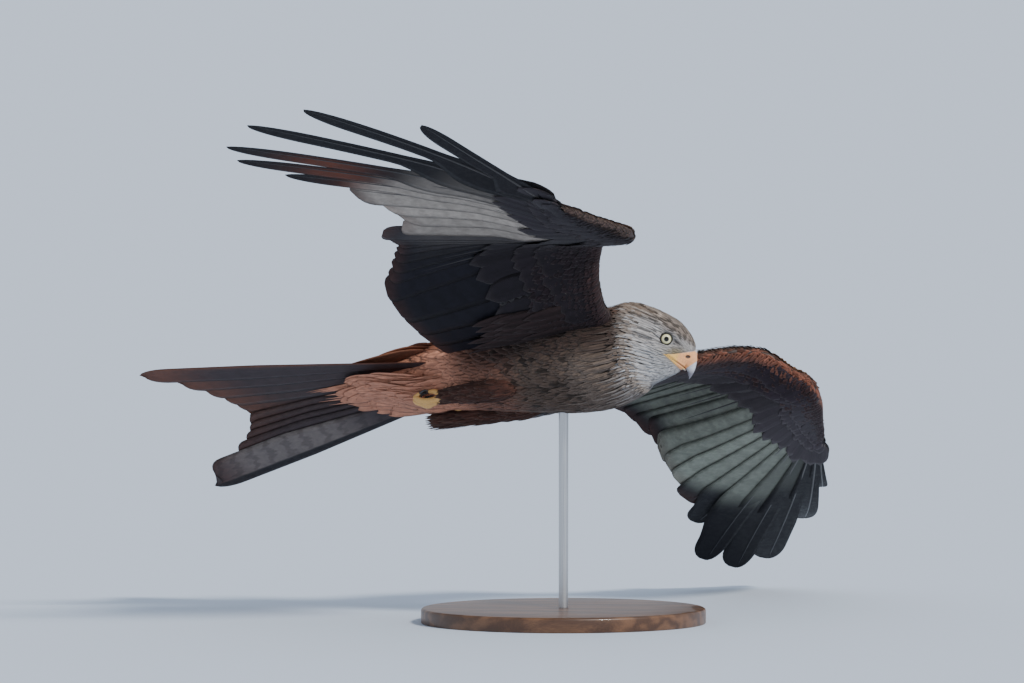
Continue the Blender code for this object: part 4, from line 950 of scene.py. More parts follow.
def buildCoverts(tag, wing, face, where):
    # all the coverts of one face of a wing: lesser, median and greater, those at the trunk, and the alula
    rng = np.random.default_rng(31 + face)
    stations, feathers = wing["stations"], wing["feathers"]
    roots, angles = feathers["roots"], feathers["angles"]
    grid, parts = np.arange(len(stations)), []

    def paint(key, count, vary=0.16):
        found = covertTints[where + key]
        found = found[tag] if isinstance(found, dict) else found
        return found * rng.uniform(1 - vary, 1 + vary, count)[:, None]

    def lay(plan, angle, u, length, width, rise, rings, tint, marks, shape, sag=0.0):
        # coverts lie on the wing's skin: the sheet, plus the skin's own thickness, plus a rise to the tip
        marks = [strength * rng.uniform(0.6, 1.0, len(u)) for strength in marks]
        s, across, layer, reach, half = smallVanes(*rings, length, width + 0 * u, shape, 0.9)
        along, beside = (way[:, None, None] for way in heading(angle))
        reach = reach - 0.25 * across**2 * half
        plan = plan[:, None, None] + along * reach[..., None] + beside * (half * across)[..., None]
        at = table(u, stations)[:, None, None]
        behind = ((plan - at[..., :2]) * unit(at[..., 2:4])).sum(-1) / at[..., 4]
        full = np.interp(np.maximum(behind, 0), wingFlesh["at"], wingFlesh[face])
        least = coverts["leastFlesh"][face] * ease(behind, 0.9, 1.5)
        flesh = np.maximum(full * at[..., 5] / 2 * wingFlesh["skinShare"], least)
        jitter = rng.uniform(0.8, 1.2, len(u))[:, None, None]
        low, high = rise
        height = low + (high - low) * s**0.9 * jitter - 0.10 * half * across**2
        height = face * (flesh + height + shell(s, across, layer, vaneThickness["covert"]))
        height = height + sheetHeight(wing, plan) + at[..., 6]
        height = height - np.reshape(sag, (-1, 1, 1)) * reach * (wingSizes["sagSpan"] - reach)
        points = onSheet(wing, plan, height)
        spot = atlas(wing["side"], 1 if face > 0 else 0, u / grid[-1], behind[:, 0, 0])
        parts.append(smallPart(points, s, across, tint, marks, spot, face == wing["side"]))

    # lesser coverts: rows from the leading edge back over the flesh, larger further back
    travel = np.concatenate([[0], np.cumsum(np.linalg.norm(np.diff(stations[:, :2], axis=0), axis=1))])
    sizes, row = coverts["lesser"], 0
    distance, last = sizes["rows"]
    while distance < last:
        rowPitch, pitch, size, width = (sizes[key][0] + sizes[key][1] * distance
                                        for key in ("rowPitch", "pitch", "length", "width"))
        count = int(travel[-1] / pitch)
        spread = (np.arange(count) + 0.5 * (row % 2) + rng.uniform(-0.25, 0.25, count)) / count * travel[-1]
        u = np.interp(spread, travel, grid)
        u = u[distance / table(u, stations)[:, 4] < np.where(u > wristRow, 0.80, 0.58)]
        n = len(u)
        if n:
            at = table(u, stations)
            plan = at[:, :2] + at[:, 2:4] * (distance / at[:, 4])[:, None]
            # a band along the arm's leading edge, and the hand's own colour beyond the wrist
            band = sizes["band"][0] - sizes["band"][1] * ease(u, wristRow - 40, wristRow)
            band = ease(distance, band + 0.002, band - 0.003) * ease(u, wristRow - 6, wristRow - 24)
            band = (band * rng.uniform(0.45, 1.0, n))[:, None]
            tint = paint("Lesser", n, 0.22) * (1 - band) + paint("Edge", n, 0.22) * band
            tint = blend(tint, paint("Hand", n), 0.6 * ease(u, wristRow - 4, wristRow + 30))
            angle = np.interp(plan[:, 1], roots[:, 1], angles) * 0.9 + rng.normal(0, 5, n)
            length = size * rng.uniform(0.88, 1.12, n)
            lay(plan, angle, u, length, width, sizes["rise"], (5, 5), tint,
                (0.65, coverts["edges"]["lesser"][face], 0.0), (0.45, 2.0))
        distance += rowPitch
        row += 1
    # greater and median coverts, from tertials to the last primary
    quills = np.arange(len(roots))
    for key, offset, reach, wide, rise, dense in coverts["tracts"]:
        index = np.linspace(0, quills[-1], quills[-1] * dense + 1)
        n = len(index)
        angle = np.interp(index, quills, angles) + rng.normal(0, 1.2, n)
        hand = ease(index, 14.5, 17.5)
        # on the hand the bones lie close to the edge, so the roots start no further ahead
        ahead = max(offset, 0.0) + min(offset, 0.0) * (1 - hand) + 0.003 * hand
        plan = table(index, roots) + heading(angle)[0] * (ahead + rng.uniform(-0.002, 0.002, n))[:, None]
        u = np.interp(plan[:, 1], stations[:, 1], grid)
        at = table(u, stations)
        back = unit(at[:, 2:4])
        plan = plan + back * np.maximum(0, 0.0025 - ((plan - at[:, :2]) * back).sum(axis=1))[:, None]
        length = reach * (1 + 0.12 * hand - 0.30 * ease(index, 22.0, 25.0)) * rng.uniform(0.95, 1.05, n)
        tint = paint(key, n, 0.12)
        tint = blend(tint, paint("Hand", n, 0.12), hand)
        gap = np.interp(index, quills, feathers["start"] + feathers["spread"] * reach)
        width = np.clip(2.0 * gap / dense**0.5, wide, 0.034)
        sag = np.interp(index, (23.5, 24, 25), (0.0, *wing["sags"]))
        lay(plan, angle, u, length, width, rise, (9, 7), tint, (0.25, coverts["edges"]["tracts"][face], 0.06),
            (0.5, 2.6), sag)
    # long feathers that close the gap between wing and trunk
    sizes, n = coverts["gap"], coverts["gap"]["count"]
    out = np.linspace(*sizes["out"], n)
    plan = together(sizes["ahead"] - sizes["step"] * (np.arange(n) % 4) + rng.uniform(-0.005, 0.005, n), out)
    length = np.linspace(*sizes["length"], n) * rng.uniform(0.85, 1.1, n)
    lay(plan, np.linspace(-6, 6, n), np.interp(out, stations[:, 1], grid), length, sizes["width"],
        sizes["rise"], (9, 7), paint("Gap", n, 0.15), (0.6, coverts["edges"]["gap"][face], 0.0), (0.5, 1.5))
    if face > 0:
        # alula: three stiff feathers on the thumb, on the upper side of the leading edge
        bone, ahead = heading(wing["handAngle"])
        step, sizes = np.arange(3), coverts["alula"]
        plan = np.array(wing["wrist"]) + bone * (0.008 + 0.006 * step)[:, None] - ahead * 0.010
        lay(plan, wing["handAngle"] - 5.0 + step, np.interp(plan[:, 1], stations[:, 1], grid),
            np.array(sizes["lengths"]), sizes["width"], sizes["rise"], (12, 7), paint("Hand", 3) * 0.7,
            (0, 0.1, 0.1), (0.4, 2.4))
    meshPiece(f"{where}Coverts{tag}", parts, wingFinish)


edgeFeathers = {
    "count": 1500, "reach": 5.5, "length": (0.008, 0.013), "width": (0.0035, 0.0055),
    "deepest": -0.0006, "rise": 0.0020, "droop": 0.05, "darkShare": 0.30,
    "above": {"Right": shade(74, 58, 52), "Left": shade(80, 56, 46)},
    # the right wing's colour below is darker as painted shade, as on its under coverts
    "below": {"Right": shade(58, 46, 46), "Left": shade(130, 80, 64)},
}


def buildEdge(tag, wing):
    # small feathers over the round leading edge: each is laid on the skin, outwards and away from the edge
    rng, grid, n = np.random.default_rng(61), wing["skin"]["points"], edgeFeathers["count"]
    rows, sides = grid.shape[:2]
    u, v = rng.uniform(1, rows - 4, n), rng.uniform(-edgeFeathers["reach"], edgeFeathers["reach"], n)
    stepU = np.linalg.norm(lookUp(grid, u + 1, v) - lookUp(grid, u, v), axis=1)
    stepV = np.linalg.norm(lookUp(grid, u, v + 0.5) - lookUp(grid, u, v - 0.5), axis=1)
    stepU, stepV = np.maximum(stepU, 0.001)[:, None, None], np.maximum(stepV, 0.0008)[:, None, None]
    turn = (np.clip(v / 3, -1, 1) * 0.75 + rng.normal(0, 0.12, n))[:, None, None]
    length, width = rng.uniform(*edgeFeathers["length"], n), rng.uniform(*edgeFeathers["width"], n)
    s, across, layer, along, half = smallVanes(5, 5, length, width, (0.45, 1.7))
    beside = half * across
    placeU = u[:, None, None] + (along * np.cos(turn) - beside * np.sin(turn)) / stepU
    placeV = v[:, None, None] + (along * np.sin(turn) + beside * np.cos(turn)) / stepV
    placeU, placeV = np.clip(placeU, 0, rows - 1.001), np.clip(placeV, -9, 9)
    # outwards is away from the middle of the flesh behind the edge
    middle = (lookUp(grid, placeU, placeV * 0 + 5) + lookUp(grid, placeU, placeV * 0 - 5)) / 2
    surface = lookUp(grid, placeU, placeV)
    rise = edgeFeathers["deepest"] + edgeFeathers["rise"] * (1 - (1 - s) ** 2)
    rise = rise + layer * vaneThickness["edge"] / 2 - edgeFeathers["droop"] * np.abs(beside)
    tint = blend(edgeFeathers["above"][tag], edgeFeathers["below"][tag], ease(-v, -1.5, 0.5))
    dark = rng.uniform(0, 1, n) < edgeFeathers["darkShare"]
    tint = tint * np.where(dark, 0.45, rng.uniform(0.85, 1.2, n))[:, None]
    spot = atlas(wing["side"], 1, u / rows, v / sides + 0.3)
    part = smallPart(surface + unit(surface - middle) * rise[..., None], s, across, tint,
                     (rng.uniform(0.2, 0.7, n), 0.4, 0.0), spot, wing["side"] < 0, 0.75, 0.35)
    meshPiece("edgeCoverts" + tag, [part], wingFinish)


for tag, wing in wings.items():
    wing["feathers"], wing["stations"] = flightFeathers(wing), wingStations(wing)
    wing["skin"] = wingSkin(wing)
    skinParts.append(wing["skin"])
    buildFlight(tag, wing)
    buildCoverts(tag, wing, 1, "top")
    buildCoverts(tag, wing, -1, "under")
    buildEdge(tag, wing)
    print("wing", tag)

# Thighs

thigh = {
    # distance ahead, out, level, half width, half height
    "stations": ((-0.092, 0.0280, -0.0440, 0.0070, 0.0080), (-0.105, 0.0285, -0.0455, 0.0135, 0.0125),
                 (-0.125, 0.0290, -0.0450, 0.0145, 0.0125), (-0.145, 0.0290, -0.0435, 0.0115, 0.0105),
                 (-0.162, 0.0290, -0.0425, 0.0085, 0.0085)),
    "sides": 40, "steps": 8, "atlasRow": 3.2, "count": 820, "hang": np.array((-1.0, 0.0, 0.05)),
    "length": (0.014, 0.026), "width": (0.004, 0.007), "deepest": -0.0030, "rise": 0.0050, "curl": 0.004,
    # the rear feathers are longer by this and hang over the tarsus, on the far leg over the toes as well
    "trousers": {1: 0.048, -1: 0.010},
}


def thighGrid(side):
    # ovals from the knee back to the ankle
    rings = [oval((ahead, out * side, level), (0, side, 0), (0, 0, 1), wide, high, high, thigh["sides"])
             for ahead, out, level, wide, high in thigh["stations"]]
    return smoothRows(rings, [thigh["steps"]] * (len(rings) - 1))


def thighSkin(side):
    # drawn in towards the middle line, most at the knee
    grid = thighGrid(side)
    drawn = np.linspace(0.55, 0.18, len(grid))[:, None, None]
    x, y = np.linspace(0, 1, len(grid))[:, None], np.linspace(0, 1, grid.shape[1])
    return {"points": grid + (grid.mean(axis=1, keepdims=True) - grid) * drawn, "flip": side > 0,
            "tint": colours["thigh"] * 0.6, "OFBake": atlas(side, thigh["atlasRow"], x, y * 0.7)}


def buildThighPlumage(tag, side):
    # loose downy feathers that lie back along the thigh, rise from it and curl in again
    rng, grid, n = np.random.default_rng(41), thighGrid(side), thigh["count"]
    rows, sides = grid.shape[:2]
    u, v = (rows - 1.5) * rng.uniform(0, 1, n) ** 0.8, rng.uniform(0, sides, n)
    trouser = ease(u, rows * 0.45, rows * 0.9) * thigh["trousers"][side]
    length, width = rng.uniform(*thigh["length"], n) + trouser, rng.uniform(*thigh["width"], n)
    s, across, layer, reach, half = smallVanes(6, 5, length, width, (0.4, 1.8))
    root = lookUp(grid, u, v)
    normal = unit(root - lookUp(np.broadcast_to(grid.mean(axis=1, keepdims=True), grid.shape), u, v))
    back = unit(thigh["hang"] - normal * (normal @ thigh["hang"])[:, None])
    rise = thigh["deepest"] + thigh["rise"] * s * rng.uniform(0.7, 1.3, n)[:, None, None]
    rise = rise - 0.15 * half * across**2 - thigh["curl"] * s**2 + layer * vaneThickness["thigh"] / 2
    points = root[:, None, None]
    for way, far in ((back, reach), (np.cross(normal, back), half * across), (normal, rise)):
        points = points + way[:, None, None] * far[..., None]
    tint = colours["thigh"] * rng.uniform(0.75, 1.25, n)[:, None]
    spot = atlas(side, thigh["atlasRow"], u / rows, v / sides * 0.7)
    part = smallPart(points, s, across, tint, (rng.uniform(0.2, 0.8, n), 0.3, 0.0), spot, False, 1.0, 0.0)
    meshPiece("thighPlumage" + tag, [part], bodyFinish)


# one skin: trunk to bill, both wings' flesh and both thighs, each sunk into the next
skinObject = meshPiece("skin", skinParts + [thighSkin(1), thighSkin(-1)], skinFinish)
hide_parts("torso", "neck", "head", "thigh_left", "thigh_right", "wing_left_arm",
            "wing_left_hand", "wing_right_arm", "wing_right_hand")
print("skin")
for tag, side in (("Left", 1), ("Right", -1)):
    buildThighPlumage(tag, side)
print("thigh plumage")

# Tail: twelve broad feathers in a shallow fork, long coverts above and below; the left side is the far one

tail = {
    "pivot": (-0.165, 0.0), "level": -0.005, "droop": 4.0, "roll": 4.0, "fan": (-24.5, 11.0),
    "lengths": (0.255, 0.262, 0.272, 0.288, 0.312, 0.352), "leftExtra": 0.012, "start": 0.050,
    "spread": 0.024, "highest": 0.0022, "step": 0.0009, "lateral": 0.0135,
    "medials": {1: (0.012, 0.028, 0.030, 0.034, 0.040, 0.046),
                -1: (0.028, 0.028, 0.027, 0.024, 0.021, 0.018)},
    "rufous": shade(112, 70, 54), "grey": shade(64, 54, 56), "dark": shade(30, 26, 30),
    "pale": shade(176, 164, 156),
    # tiers of coverts over and under the tail: length, feathers, distance from the vanes
    "coverts": {1: ((0.165, 14, 0.0026), (0.135, 14, 0.0042), (0.110, 12, 0.0060), (0.088, 10, 0.0085)),
                -1: ((0.150, 12, 0.0062), (0.141, 11, 0.0066), (0.130, 12, 0.0065), (0.120, 11, 0.0070),
                     (0.110, 12, 0.0075), (0.100, 11, 0.0080), (0.090, 12, 0.0085), (0.080, 11, 0.0090),
                     (0.070, 12, 0.0095))},
    "covertHalf": {1: 0.0115, -1: 0.0120}, "rootRise": 0.021,
    "covertColour": {1: colours["rump"], -1: colours["vent"]},
}
tailMiddle = sum(tail["fan"]) / 2


def tailVane(angle, length, level, medial, lateral, side, startAt, rings, rounding, widen):
    # a flat vane on the tail's plane that widens towards a rounded end, its lateral edge the stiffer one
    along, beside = heading(angle)
    beside = beside * side
    s, across, layer, tip = stiffVane(*rings, rounding, 2.2, 0.002)
    grow = np.minimum(1.0, 0.35 + 0.65 * s / widen)
    half = across * np.where(across < 0, medial, lateral) * grow * tip
    middle = np.array(tail["pivot"]) + beside * tail["spread"] * abs(angle + 6) / 19
    slant = 0.30 * np.maximum(-across, 0) * medial * ease(s, 0.5, 1.0) * abs(angle - tailMiddle) / 18
    reach = startAt + (length - startAt) * s - slant
    plan = middle + along * reach[..., None] + beside * half[..., None]
    height = tail["level"] + tan(radians(tail["droop"])) * (plan[..., 0] - tail["pivot"][0])
    height = height - tan(radians(tail["roll"])) * plan[..., 1] + level - 0.0004 * across**2
    height = height + layer * vaneThickness["tail"] / 2 * (1 - 0.6 * s) * (1 - 0.6 * np.abs(across))
    points = np.concatenate([plan, height[..., None]], -1)
    return {"points": points, "featherMap": vaneMap(s, across), "flip": side > 0}


def tailPigment(index, side, s, across):
    # rufous at the ends, darker to the corners; the far outer feather has a pale inner web
    tint = blend(tail["grey"], tail["rufous"], ease(s, 0.70, 1.0) * (0.30 if side > 0 else 0.85))
    tint = blend(tint, "mantle", 0.35 * (1 - index / 5) * ease(s, 0.2, 0.9))
    if index == 5 and side > 0:
        web = ease(-across, -0.35, -0.05) * ease(s, 0.25, 0.5) * ease(s, 0.97, 0.80)
        tint = blend(blend(tint, tail["pale"], 0.32 * web), tail["dark"], 0.9 * ease(across, 0.05, 0.25))
    elif index == 5:
        tint = blend(tint, tail["rufous"], 0.8 * ease(across, 0.4, 0.8))
    return blend(tint, tail["dark"], ease(s, 0.93, 1.0) * 0.35 * index / 5)


def buildTail(tag, side):
    # six feathers of one side, each a step below the one nearer the middle
    pitch = (tail["fan"][1] - tail["fan"][0]) / 11
    parts = []
    for index, length in enumerate(tail["lengths"]):
        angle = tailMiddle + side * pitch * (index + 0.5)
        level = tail["highest"] - tail["step"] * (index + (1 if side > 0 else 0))
        farOuter = index == 5 and side > 0
        length = length + (tail["leftExtra"] if farOuter else 0.0)
        part = tailVane(angle, length, level, tail["medials"][side][index], tail["lateral"], side,
                        tail["start"], (34, 9), 0.10, 0.6)
        across, s = np.moveaxis(part["featherMap"], -1, 0)
        column = (index + 0.8 * across) / 6 * 0.22 + (0.24 if side > 0 else 0.0)
        part["tint"] = tailPigment(index, side, s, across * 2 - 1)
        part["marks"] = (0.0, 0.05, 0.35 if farOuter else 0.10)
        part["OFBake"] = together(0.52 + column, 0.80 + 0.09 * s)
        parts.append(part)
    return meshPiece("tailFeathers" + tag, parts, tailFinish)


def buildTailCoverts():
    # tiers of long soft feathers over and under the tail's base, each tier shorter and further from the vanes
    rng, parts = np.random.default_rng(51), {1: [], -1: []}
    for face, reach, count, level in ((face, *tier) for face in (1, -1) for tier in tail["coverts"][face]):
        for spot in (np.arange(count) + 0.5) / count * 2 - 1:
            angle = tailMiddle + 15.5 * spot + rng.normal(0, 1.5)
            side = -1 if spot < 0 else 1
            length = (reach - 0.02 * abs(spot)) * rng.uniform(0.90, 1.06)
            height = face * (level - abs(spot) * 0.0008 + rng.uniform(-0.0003, 0.0003))
            start, half = 0.036 if face > 0 else max(0.020, length - 0.062), tail["covertHalf"][face]
            part = tailVane(angle, length, height, half, half, side, start, (11, 7), 0.45, 0.4)
            # the roots rise with the rump and the vent; below, each tip rises a little towards its own vane
            rise = tail["rootRise"] * ease(part["points"][..., 0], -0.285, -0.205) * (1 - 0.5 * spot**2)
            rise = rise - (0.0022 * (1 - part["featherMap"][..., 1]) if face < 0 else 0.0)
            part["points"][..., 2] += face * rise
            part.update(tint=tail["covertColour"][face] * rng.uniform(0.85, 1.12), marks=(0.04, 0.12, 0.0))
            parts[side].append(part)
    for tag, side in (("Left", 1), ("Right", -1)):
        x, y = rng.uniform(0, 1, len(parts[side])), rng.uniform(0, 1, len(parts[side]))
        for part, spot in zip(parts[side], together(0.02 + 0.05 * x, 0.02 + 0.96 * y)):
            part["OFBake"] = spot + (part["featherMap"] - 0.5) * 0.003
        meshPiece("tailCoverts" + tag, parts[side], bodyFinish)


farTail = buildTail("Left", 1)
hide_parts("tail")
buildTail("Right", -1)
buildTailCoverts()
print("tail")

# Eyes, lids, bill

eye = {"radius": 0.0085, "out": 0.0103, "aim": 4.0, "shift": (-0.0016, -0.0004), "bulge": 0.045,
       "iris": 0.00525, "pupil": 0.0026,
       # the lid's ring, its thickness and what its upper half has more, and its gap to the ball
       "lidRadius": 0.0061, "lidThick": 0.00085, "lidUpper": 0.00030, "lidGap": 0.0003,
       "black": shade(8, 8, 9), "yellow": shade(228, 224, 184), "irisShade": shade(204, 196, 146),
       "rim": shade(74, 66, 46), "lid": shade(34, 32, 30)}


def buildEye(tag, side):
    # a ball turned to its aim; the cornea bulges over iris and pupil by a low hill of the polar angle
    forward, left, up = headFrame["forward"], headFrame["left"], headFrame["up"]
    aim = unit(left * side * cos(radians(eye["aim"])) + forward * sin(radians(eye["aim"])))
    first = unit(np.cross(aim, up))
    second = np.cross(first, aim)
    centre = headFrame["eye"] + left * side * eye["out"] + forward * eye["shift"][0] + up * eye["shift"][1]
    polar, turn = np.linspace(0.001, pi - 0.001, 65)[:, None], turns(64)
    radius = eye["radius"] * (1 + eye["bulge"] * hill(polar, 0, 0.55))
    away = np.sin(polar) * radius
    ring = np.outer(np.cos(turn), first) + np.outer(np.sin(turn), second)
    points = centre + ring * away[..., None] + aim * (np.cos(polar) * radius)[..., None]
    # pupil, iris with a paler middle whose darker outer part is painted shade, and the dark line round it
    tint = blend(eye["yellow"], eye["irisShade"], ease(away, 0.0040, 0.0052))
    tint = blend(tint, eye["black"], ease(away, eye["pupil"] + 0.00025, eye["pupil"] - 0.00015))
    tint = blend(tint, eye["rim"], ease(away, eye["iris"] - 0.0004, eye["iris"]))
    tint = blend(tint, eye["black"], ease(away, eye["iris"], eye["iris"] + 0.0003))
    tint = np.where(polar[..., None] > pi / 2, eye["black"], tint)
    flip = np.dot(np.cross(first, second), aim) > 0
    ball = meshPiece("eyeball" + tag, [{"points": points, "tint": tint, "flip": not flip}], eyeFinish)
    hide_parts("eye_" + tag.lower())
    # lid: a wrinkled ring, thicker above, following the ball
    turn, circle = turns(72), turns(10)
    size = (eye["lidThick"] + eye["lidUpper"] * ease(np.sin(turn), 0.0, 1.0)) * (1 + 0.10 * np.sin(turn * 23))
    out = (np.outer(np.cos(turn), first) + np.outer(np.sin(turn), second))[:, None]
    depth = np.sqrt(eye["radius"] ** 2 - eye["lidRadius"] ** 2) + eye["lidGap"]
    lid = (centre + aim * depth + out * eye["lidRadius"] + out * np.outer(size, np.cos(circle))[..., None]
           + aim * np.outer(size, np.sin(circle))[..., None])
    part = {"points": lid, "tint": eye["lid"], "loop": True, "flip": not flip}
    meshPiece("eyelids" + tag, [part], lidFinish)


for tag, side in (("Left", 1), ("Right", -1)):
    buildEye(tag, side)

bill = {
    # millimetres of the head frame: top point, bottom point, half width
    "upper": (((31.0, 9.2), (25.0, -13.7), 9.3), ((33.4, 6.6), (29.4, -13.4), 8.4),
              ((35.6, 3.4), (32.2, -13.5), 7.2), ((39.0, -1.6), (34.8, -14.5), 5.6),
              ((41.5, -7.4), (36.9, -15.9), 4.2), ((42.7, -12.0), (38.8, -17.6), 3.0),
              ((43.0, -15.5), (40.5, -19.1), 2.0), ((43.0, -19.0), (41.9, -20.8), 1.0),
              ((42.8, -21.3), (42.5, -21.5), 0.3)),
    "lower": (((24.9, -14.3), (24.4, -17.2), 8.8), ((28.0, -14.1), (28.0, -17.2), 7.8),
              ((31.0, -14.2), (30.8, -16.9), 6.2), ((33.2, -14.9), (32.9, -16.5), 4.2),
              ((34.6, -15.6), (34.4, -16.3), 2.0)),
    "sides": 64, "horn": shade(200, 202, 208), "tip": shade(118, 116, 126), "pit": shade(36, 24, 18),
    "lowerTip": shade(190, 170, 150),
}


def billGrid(rings, steps):
    # ovals from the cere to the tip
    rings = [headRing(*ring, bill["sides"], headFrame["left"]) for ring in rings]
    return smoothRows(rings, [steps] * (len(rings) - 1))


def buildBill():
    # the cere's edge is a low step where skin meets horn
    grid = billGrid(bill["upper"], 14)
    place = headPlace(grid)
    x, z, pit = place[..., 0], place[..., 2], nostrilPit(place)
    cere = ease(x - 0.389 * z, 39.4, 38.6)
    grid = grid + gridNormals(grid)[0] * ((0.35 * cere - 1.5 * pit) / 1000)[..., None]
    tint = blend(bill["horn"], bill["tip"], ease(-z + 0.5 * (x - 38), 9.5, 18.0))
    tint = blend(blend(tint, bareTint(place), cere), "face", ease(z, 5.4, 6.6))
    # painted shade: the nostril's hollow is darkened
    tint = blend(tint, bill["pit"], ease(pit, 0.25, 0.7))
    upper = meshPiece("billUpper", [{"points": grid, "tint": tint}], billFinish)
    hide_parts("bill_upper")
    grid = billGrid(bill["lower"], 8)
    tint = blend(colours["gape"], bill["lowerTip"], ease(headPlace(grid)[..., 0], 30, 34))
    lower = meshPiece("billLower", [{"points": grid, "tint": tint}], billFinish)
    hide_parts("bill_lower")


buildBill()
print("head parts")

# Feet: a tarsus and clenched toes, scutes as rings along each toe, curved claws

foot = {
    "tarsus": ((-0.1555, 0.029, -0.0430), (-0.164, 0.029, -0.0432), (-0.176, 0.0295, -0.0440),
               (-0.190, 0.030, -0.0440)),
    "tarsusRadii": (0.0050, 0.0040, 0.0040, 0.0050), "ball": (0.0058, 0.0056), "toeRadius": 0.0033,
    "scutes": {"tarsus": 16, "toe": 13, "hind": 9},
    "spread": (-0.0075, 0.0, 0.0075), "stretch": (0.90, 1.0, 0.86),
    # back and up from the ankle for the three front toes, then the hind toe's steps from it
    "curl": ((0.0, 0.0), (-0.012, -0.0025), (-0.0235, -0.0012), (-0.0290, 0.0030), (-0.0235, 0.0062)),
    "hind": ((0, 0, 0.001), (-0.004, 0.001, 0.0075), (-0.0125, 0.001, 0.0095)),
    "toeTaper": (1.1, 1.0, 0.95, 0.8, 0.6), "hindTaper": (1.0, 0.9, 0.6),
    "claw": ((-0.0008, 0, -0.0012), (0.0018, 0, 0.0012), (0.0055, 0, 0.0026), (0.0100, 0, 0.0018)),
    "hindClaw": ((0.001, 0, -0.0004), (-0.003, 0, 0.0012), (-0.007, 0, 0.0004), (-0.0098, 0, -0.0022)),
    "clawRadii": (0.0017, 0.0015, 0.0010, 0.0002), "hindClawRadii": (0.0018, 0.0015, 0.0010, 0.0002),
    # the far foot is held closer, in its leg's feathers
    "held": {1: (0.018, -0.001, 0.009), -1: (0.0, 0.0, 0.0)},
    "skin": shade(222, 172, 102), "horn": shade(34, 30, 30),
}


def tube(route, radii, steps, sides, scutes=0, pads=0.0):
    # a smooth run through the route; scutes ripple its upper side and pads swell its under side
    route = np.array(route, float)
    line = smoothRows(np.repeat(route[:, None], 2, 1), [steps] * (len(route) - 1))[:, 0]
    share = np.linspace(0, len(route) - 1, len(line))[:, None]
    ahead = unit(np.gradient(line, axis=0))
    across = unit(np.cross(ahead, (0.1, 1.0, 0.2)))
    turn = turns(sides)
    ripple = 1 + 0.055 * np.abs(np.sin(share / share[-1] * pi * scutes)) * np.clip(np.cos(turn), 0, 1)
    swell = 1 + pads * (0.5 - 0.5 * np.cos(share * 2 * pi)) * np.clip(-np.cos(turn), 0, 1)
    size = np.interp(share, np.arange(len(route)), radii) * ripple * swell
    return (line[:, None] + across[:, None] * (np.sin(turn) * size)[..., None]
            + np.cross(across, ahead)[:, None] * (np.cos(turn) * size)[..., None])


def buildFoot(tag, side):
    tarsus = np.array(foot["tarsus"]) + foot["held"][side]
    ankle, radius = tarsus[-1], foot["toeRadius"]
    skin, claws = [tube(tarsus, foot["tarsusRadii"], 10, 20, foot["scutes"]["tarsus"])], []
    # a ball at the ankle
    turn, around = np.linspace(0.02, pi - 0.02, 14)[:, None], turns(20)
    long, wide = foot["ball"][0] * np.cos(turn), foot["ball"][1] * np.sin(turn)
    skin.append(ankle + together(long, np.sin(around) * wide, np.cos(around) * wide * 0.92))
    for spread, stretch in zip(foot["spread"], foot["stretch"]):
        route = [ankle + (back * stretch, spread * min(1.0, step / 2), rise)
                 for step, (back, rise) in enumerate(foot["curl"])]
        skin.append(tube(route, radius * np.array(foot["toeTaper"]), 12, 18, foot["scutes"]["toe"], 0.22))
        claws.append(tube(route[-1] + foot["claw"], foot["clawRadii"], 8, 14))
    hind = ankle + foot["hind"]
    skin.append(tube(hind, radius * np.array(foot["hindTaper"]), 12, 18, foot["scutes"]["hind"], 0.2))
    claws.append(tube(hind[-1] + foot["hindClaw"], foot["hindClawRadii"], 8, 14))
    skin, claws = ([{"points": grid * (1, side, 1), "tint": tint, "flip": side > 0} for grid in grids]
                   for grids, tint in ((skin, foot["skin"]), (claws, foot["horn"])))
    made = meshPiece("foot" + tag, skin, footFinish)
    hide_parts("foot_" + tag.lower())
    meshPiece("claws" + tag, claws, clawFinish)


for tag, side in (("Left", 1), ("Right", -1)):
    buildFoot(tag, side)
print("feet")

# Stand: a turned base over the solid one, and the solid rod in brushed steel

stand = {"radius": 0.150, "thick": 0.016, "round": 0.003, "sides": 160}


def buildBase():
    # a profile turned about Z: flat underside, upright side, quarter-round edge, flat top
    arc, (r, t, e) = np.linspace(0, pi / 2, 7), (stand["radius"], stand["thick"], stand["round"])
    edge = together(r - e + e * np.cos(arc), t - e + e * np.sin(arc))
    profile = np.concatenate([((0.001, 0.0), (r - 0.001, 0.0), (r, 0.001)), edge, ((r * 0.6, t), (0.001, t))])
    away, height, turn = profile[:, :1], profile[:, 1:], turns(stand["sides"])
    grid = together(away * np.cos(turn), away * np.sin(turn), height)
    return meshPiece("standBase", [{"points": grid, "flip": True}], woodMaterial(), False)


def woodMaterial():
    w = Finish("oiledWood", 0.42, Coat_Weight=0.15)
    place = w.objectPlace()
    warp = w.noise(place, 5.0, 3.0, 0.5, (1.0, 6.0, 6.0))
    fine = w.noise(place, 60.0, 5.0, 0.65, (1.0, 22.0, 22.0))
    rings = w.maths("MULTIPLY", w.split("XYZ", place)[1], 150.0)
    rings = w.maths("SINE", w.maths("MULTIPLY_ADD", warp, 26.0, rings))
    grain = w.maths("MULTIPLY_ADD", fine, 0.7, w.maths("MULTIPLY_ADD", rings, 0.16, 0.12))
    w.give(Base_Color=w.mix(w.span(grain, 0.2, 0.85), (0.060, 0.026, 0.012), (0.190, 0.092, 0.044)))
    w.give(Roughness=w.span(fine, 0.2, 0.8, 0.34, 0.52))
    w.bump(grain, 0.25, 0.0003)
    return w.material


def steelMaterial():
    w = Finish("brushedSteel", 0.32, Metallic=1.0)
    lines = w.noise(w.objectPlace(), 350.0, 3.0, 0.6, (6.0, 6.0, 0.05))
    w.give(Base_Color=w.mix(w.span(lines, 0.2, 0.8), (0.50, 0.50, 0.51), (0.66, 0.66, 0.66)))
    w.give(Roughness=w.span(lines, 0.2, 0.8, 0.24, 0.42))
    w.bump(lines, 0.12, 0.0001)
    return w.material


base = buildBase()
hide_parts("stand_base")
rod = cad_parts["stand_rod"]
rod.data.materials.clear()
rod.data.materials.append(steelMaterial())
print("stand")

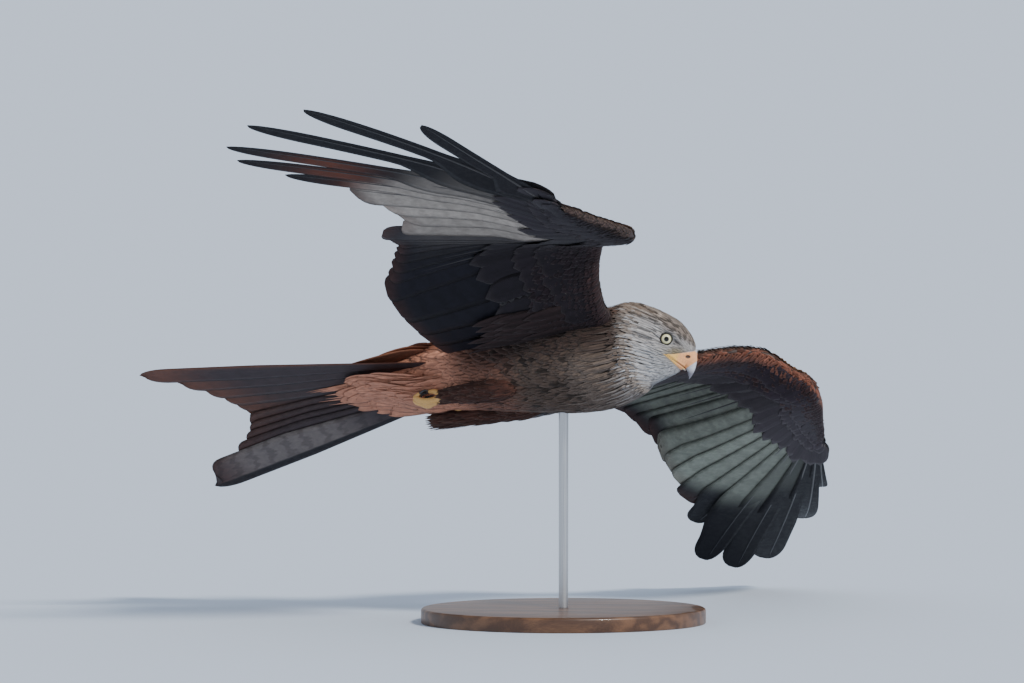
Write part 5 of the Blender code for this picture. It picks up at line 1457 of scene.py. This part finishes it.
# Floor, light, camera

studio = {"floorSize": 300.0, "floor": (0.60, 0.68, 0.80), "sky": (0.80, 0.88, 1.0), "skyStrength": 0.75,
          "sun": (1.0, 0.96, 0.90), "sunStrength": 3.2, "sunTurn": 38.0, "sunHeight": 38.0, "sunAngle": 9.0,
          # the shoulders sit at this pixel of the picture
          "picture": (1024, 683), "shoulders": (615, 339), "pixel": 0.00105, "distance": 14.0, "tilt": 3.0}


def buildStudio():
    # a wide flat floor, an even sky and one soft sun
    half = studio["floorSize"] / 2
    mesh = bpy.data.meshes.new("floor")
    corners = [(-half, -half, 0), (half, -half, 0), (half, half, 0), (-half, half, 0)]
    mesh.from_pydata(corners, [], [(0, 1, 2, 3)])
    mesh.materials.append(Finish("floorPaint", 0.9, Base_Color=(*studio["floor"], 1.0)).material)
    floor = addObject("floor", mesh)
    floor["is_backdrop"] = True
    world = bpy.data.worlds.new("studioSky")
    world.use_nodes = True
    sky = world.node_tree.nodes["Background"]
    sky.inputs["Color"].default_value = (*studio["sky"], 1.0)
    sky.inputs["Strength"].default_value = studio["skyStrength"]
    bpy.context.scene.world = world
    sun = bpy.data.lights.new("sun", "SUN")
    sun.energy, sun.angle, sun.color = studio["sunStrength"], radians(studio["sunAngle"]), studio["sun"]
    turn, height = radians(studio["sunTurn"]), radians(studio["sunHeight"])
    toSun = Vector((sin(turn) * cos(height), -cos(turn) * cos(height), sin(height)))
    addObject("sun", sun).rotation_euler = toSun.to_track_quat("Z", "Y").to_euler()


def buildCamera():
    # aimed past the shoulders by their distance from the picture's middle, seen from a little above
    scale, tilt, (wide, high) = studio["pixel"], radians(studio["tilt"]), studio["picture"]
    across, down = wide / 2 - studio["shoulders"][0], high / 2 - studio["shoulders"][1]
    offset = Vector((across, -sin(tilt) * down, -cos(tilt) * down)) * scale
    target = Vector(attitude["place"]) + offset
    data = bpy.data.cameras.new("camera")
    data.sensor_width, data.lens = 36.0, 36.0 * studio["distance"] / (wide * scale)
    data.clip_start, data.clip_end = 0.1, 500.0
    camera = addObject("camera", data)
    camera.location = target + Vector((0, -cos(tilt), sin(tilt))) * studio["distance"]
    camera.rotation_euler = (radians(90) - tilt, 0, 0)
    bpy.context.scene.camera = camera


buildStudio()
buildCamera()
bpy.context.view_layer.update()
triangles = {piece.name: sum(len(p.vertices) - 2 for p in piece.data.polygons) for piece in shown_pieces()}
print("triangles", sum(triangles.values()), triangles)
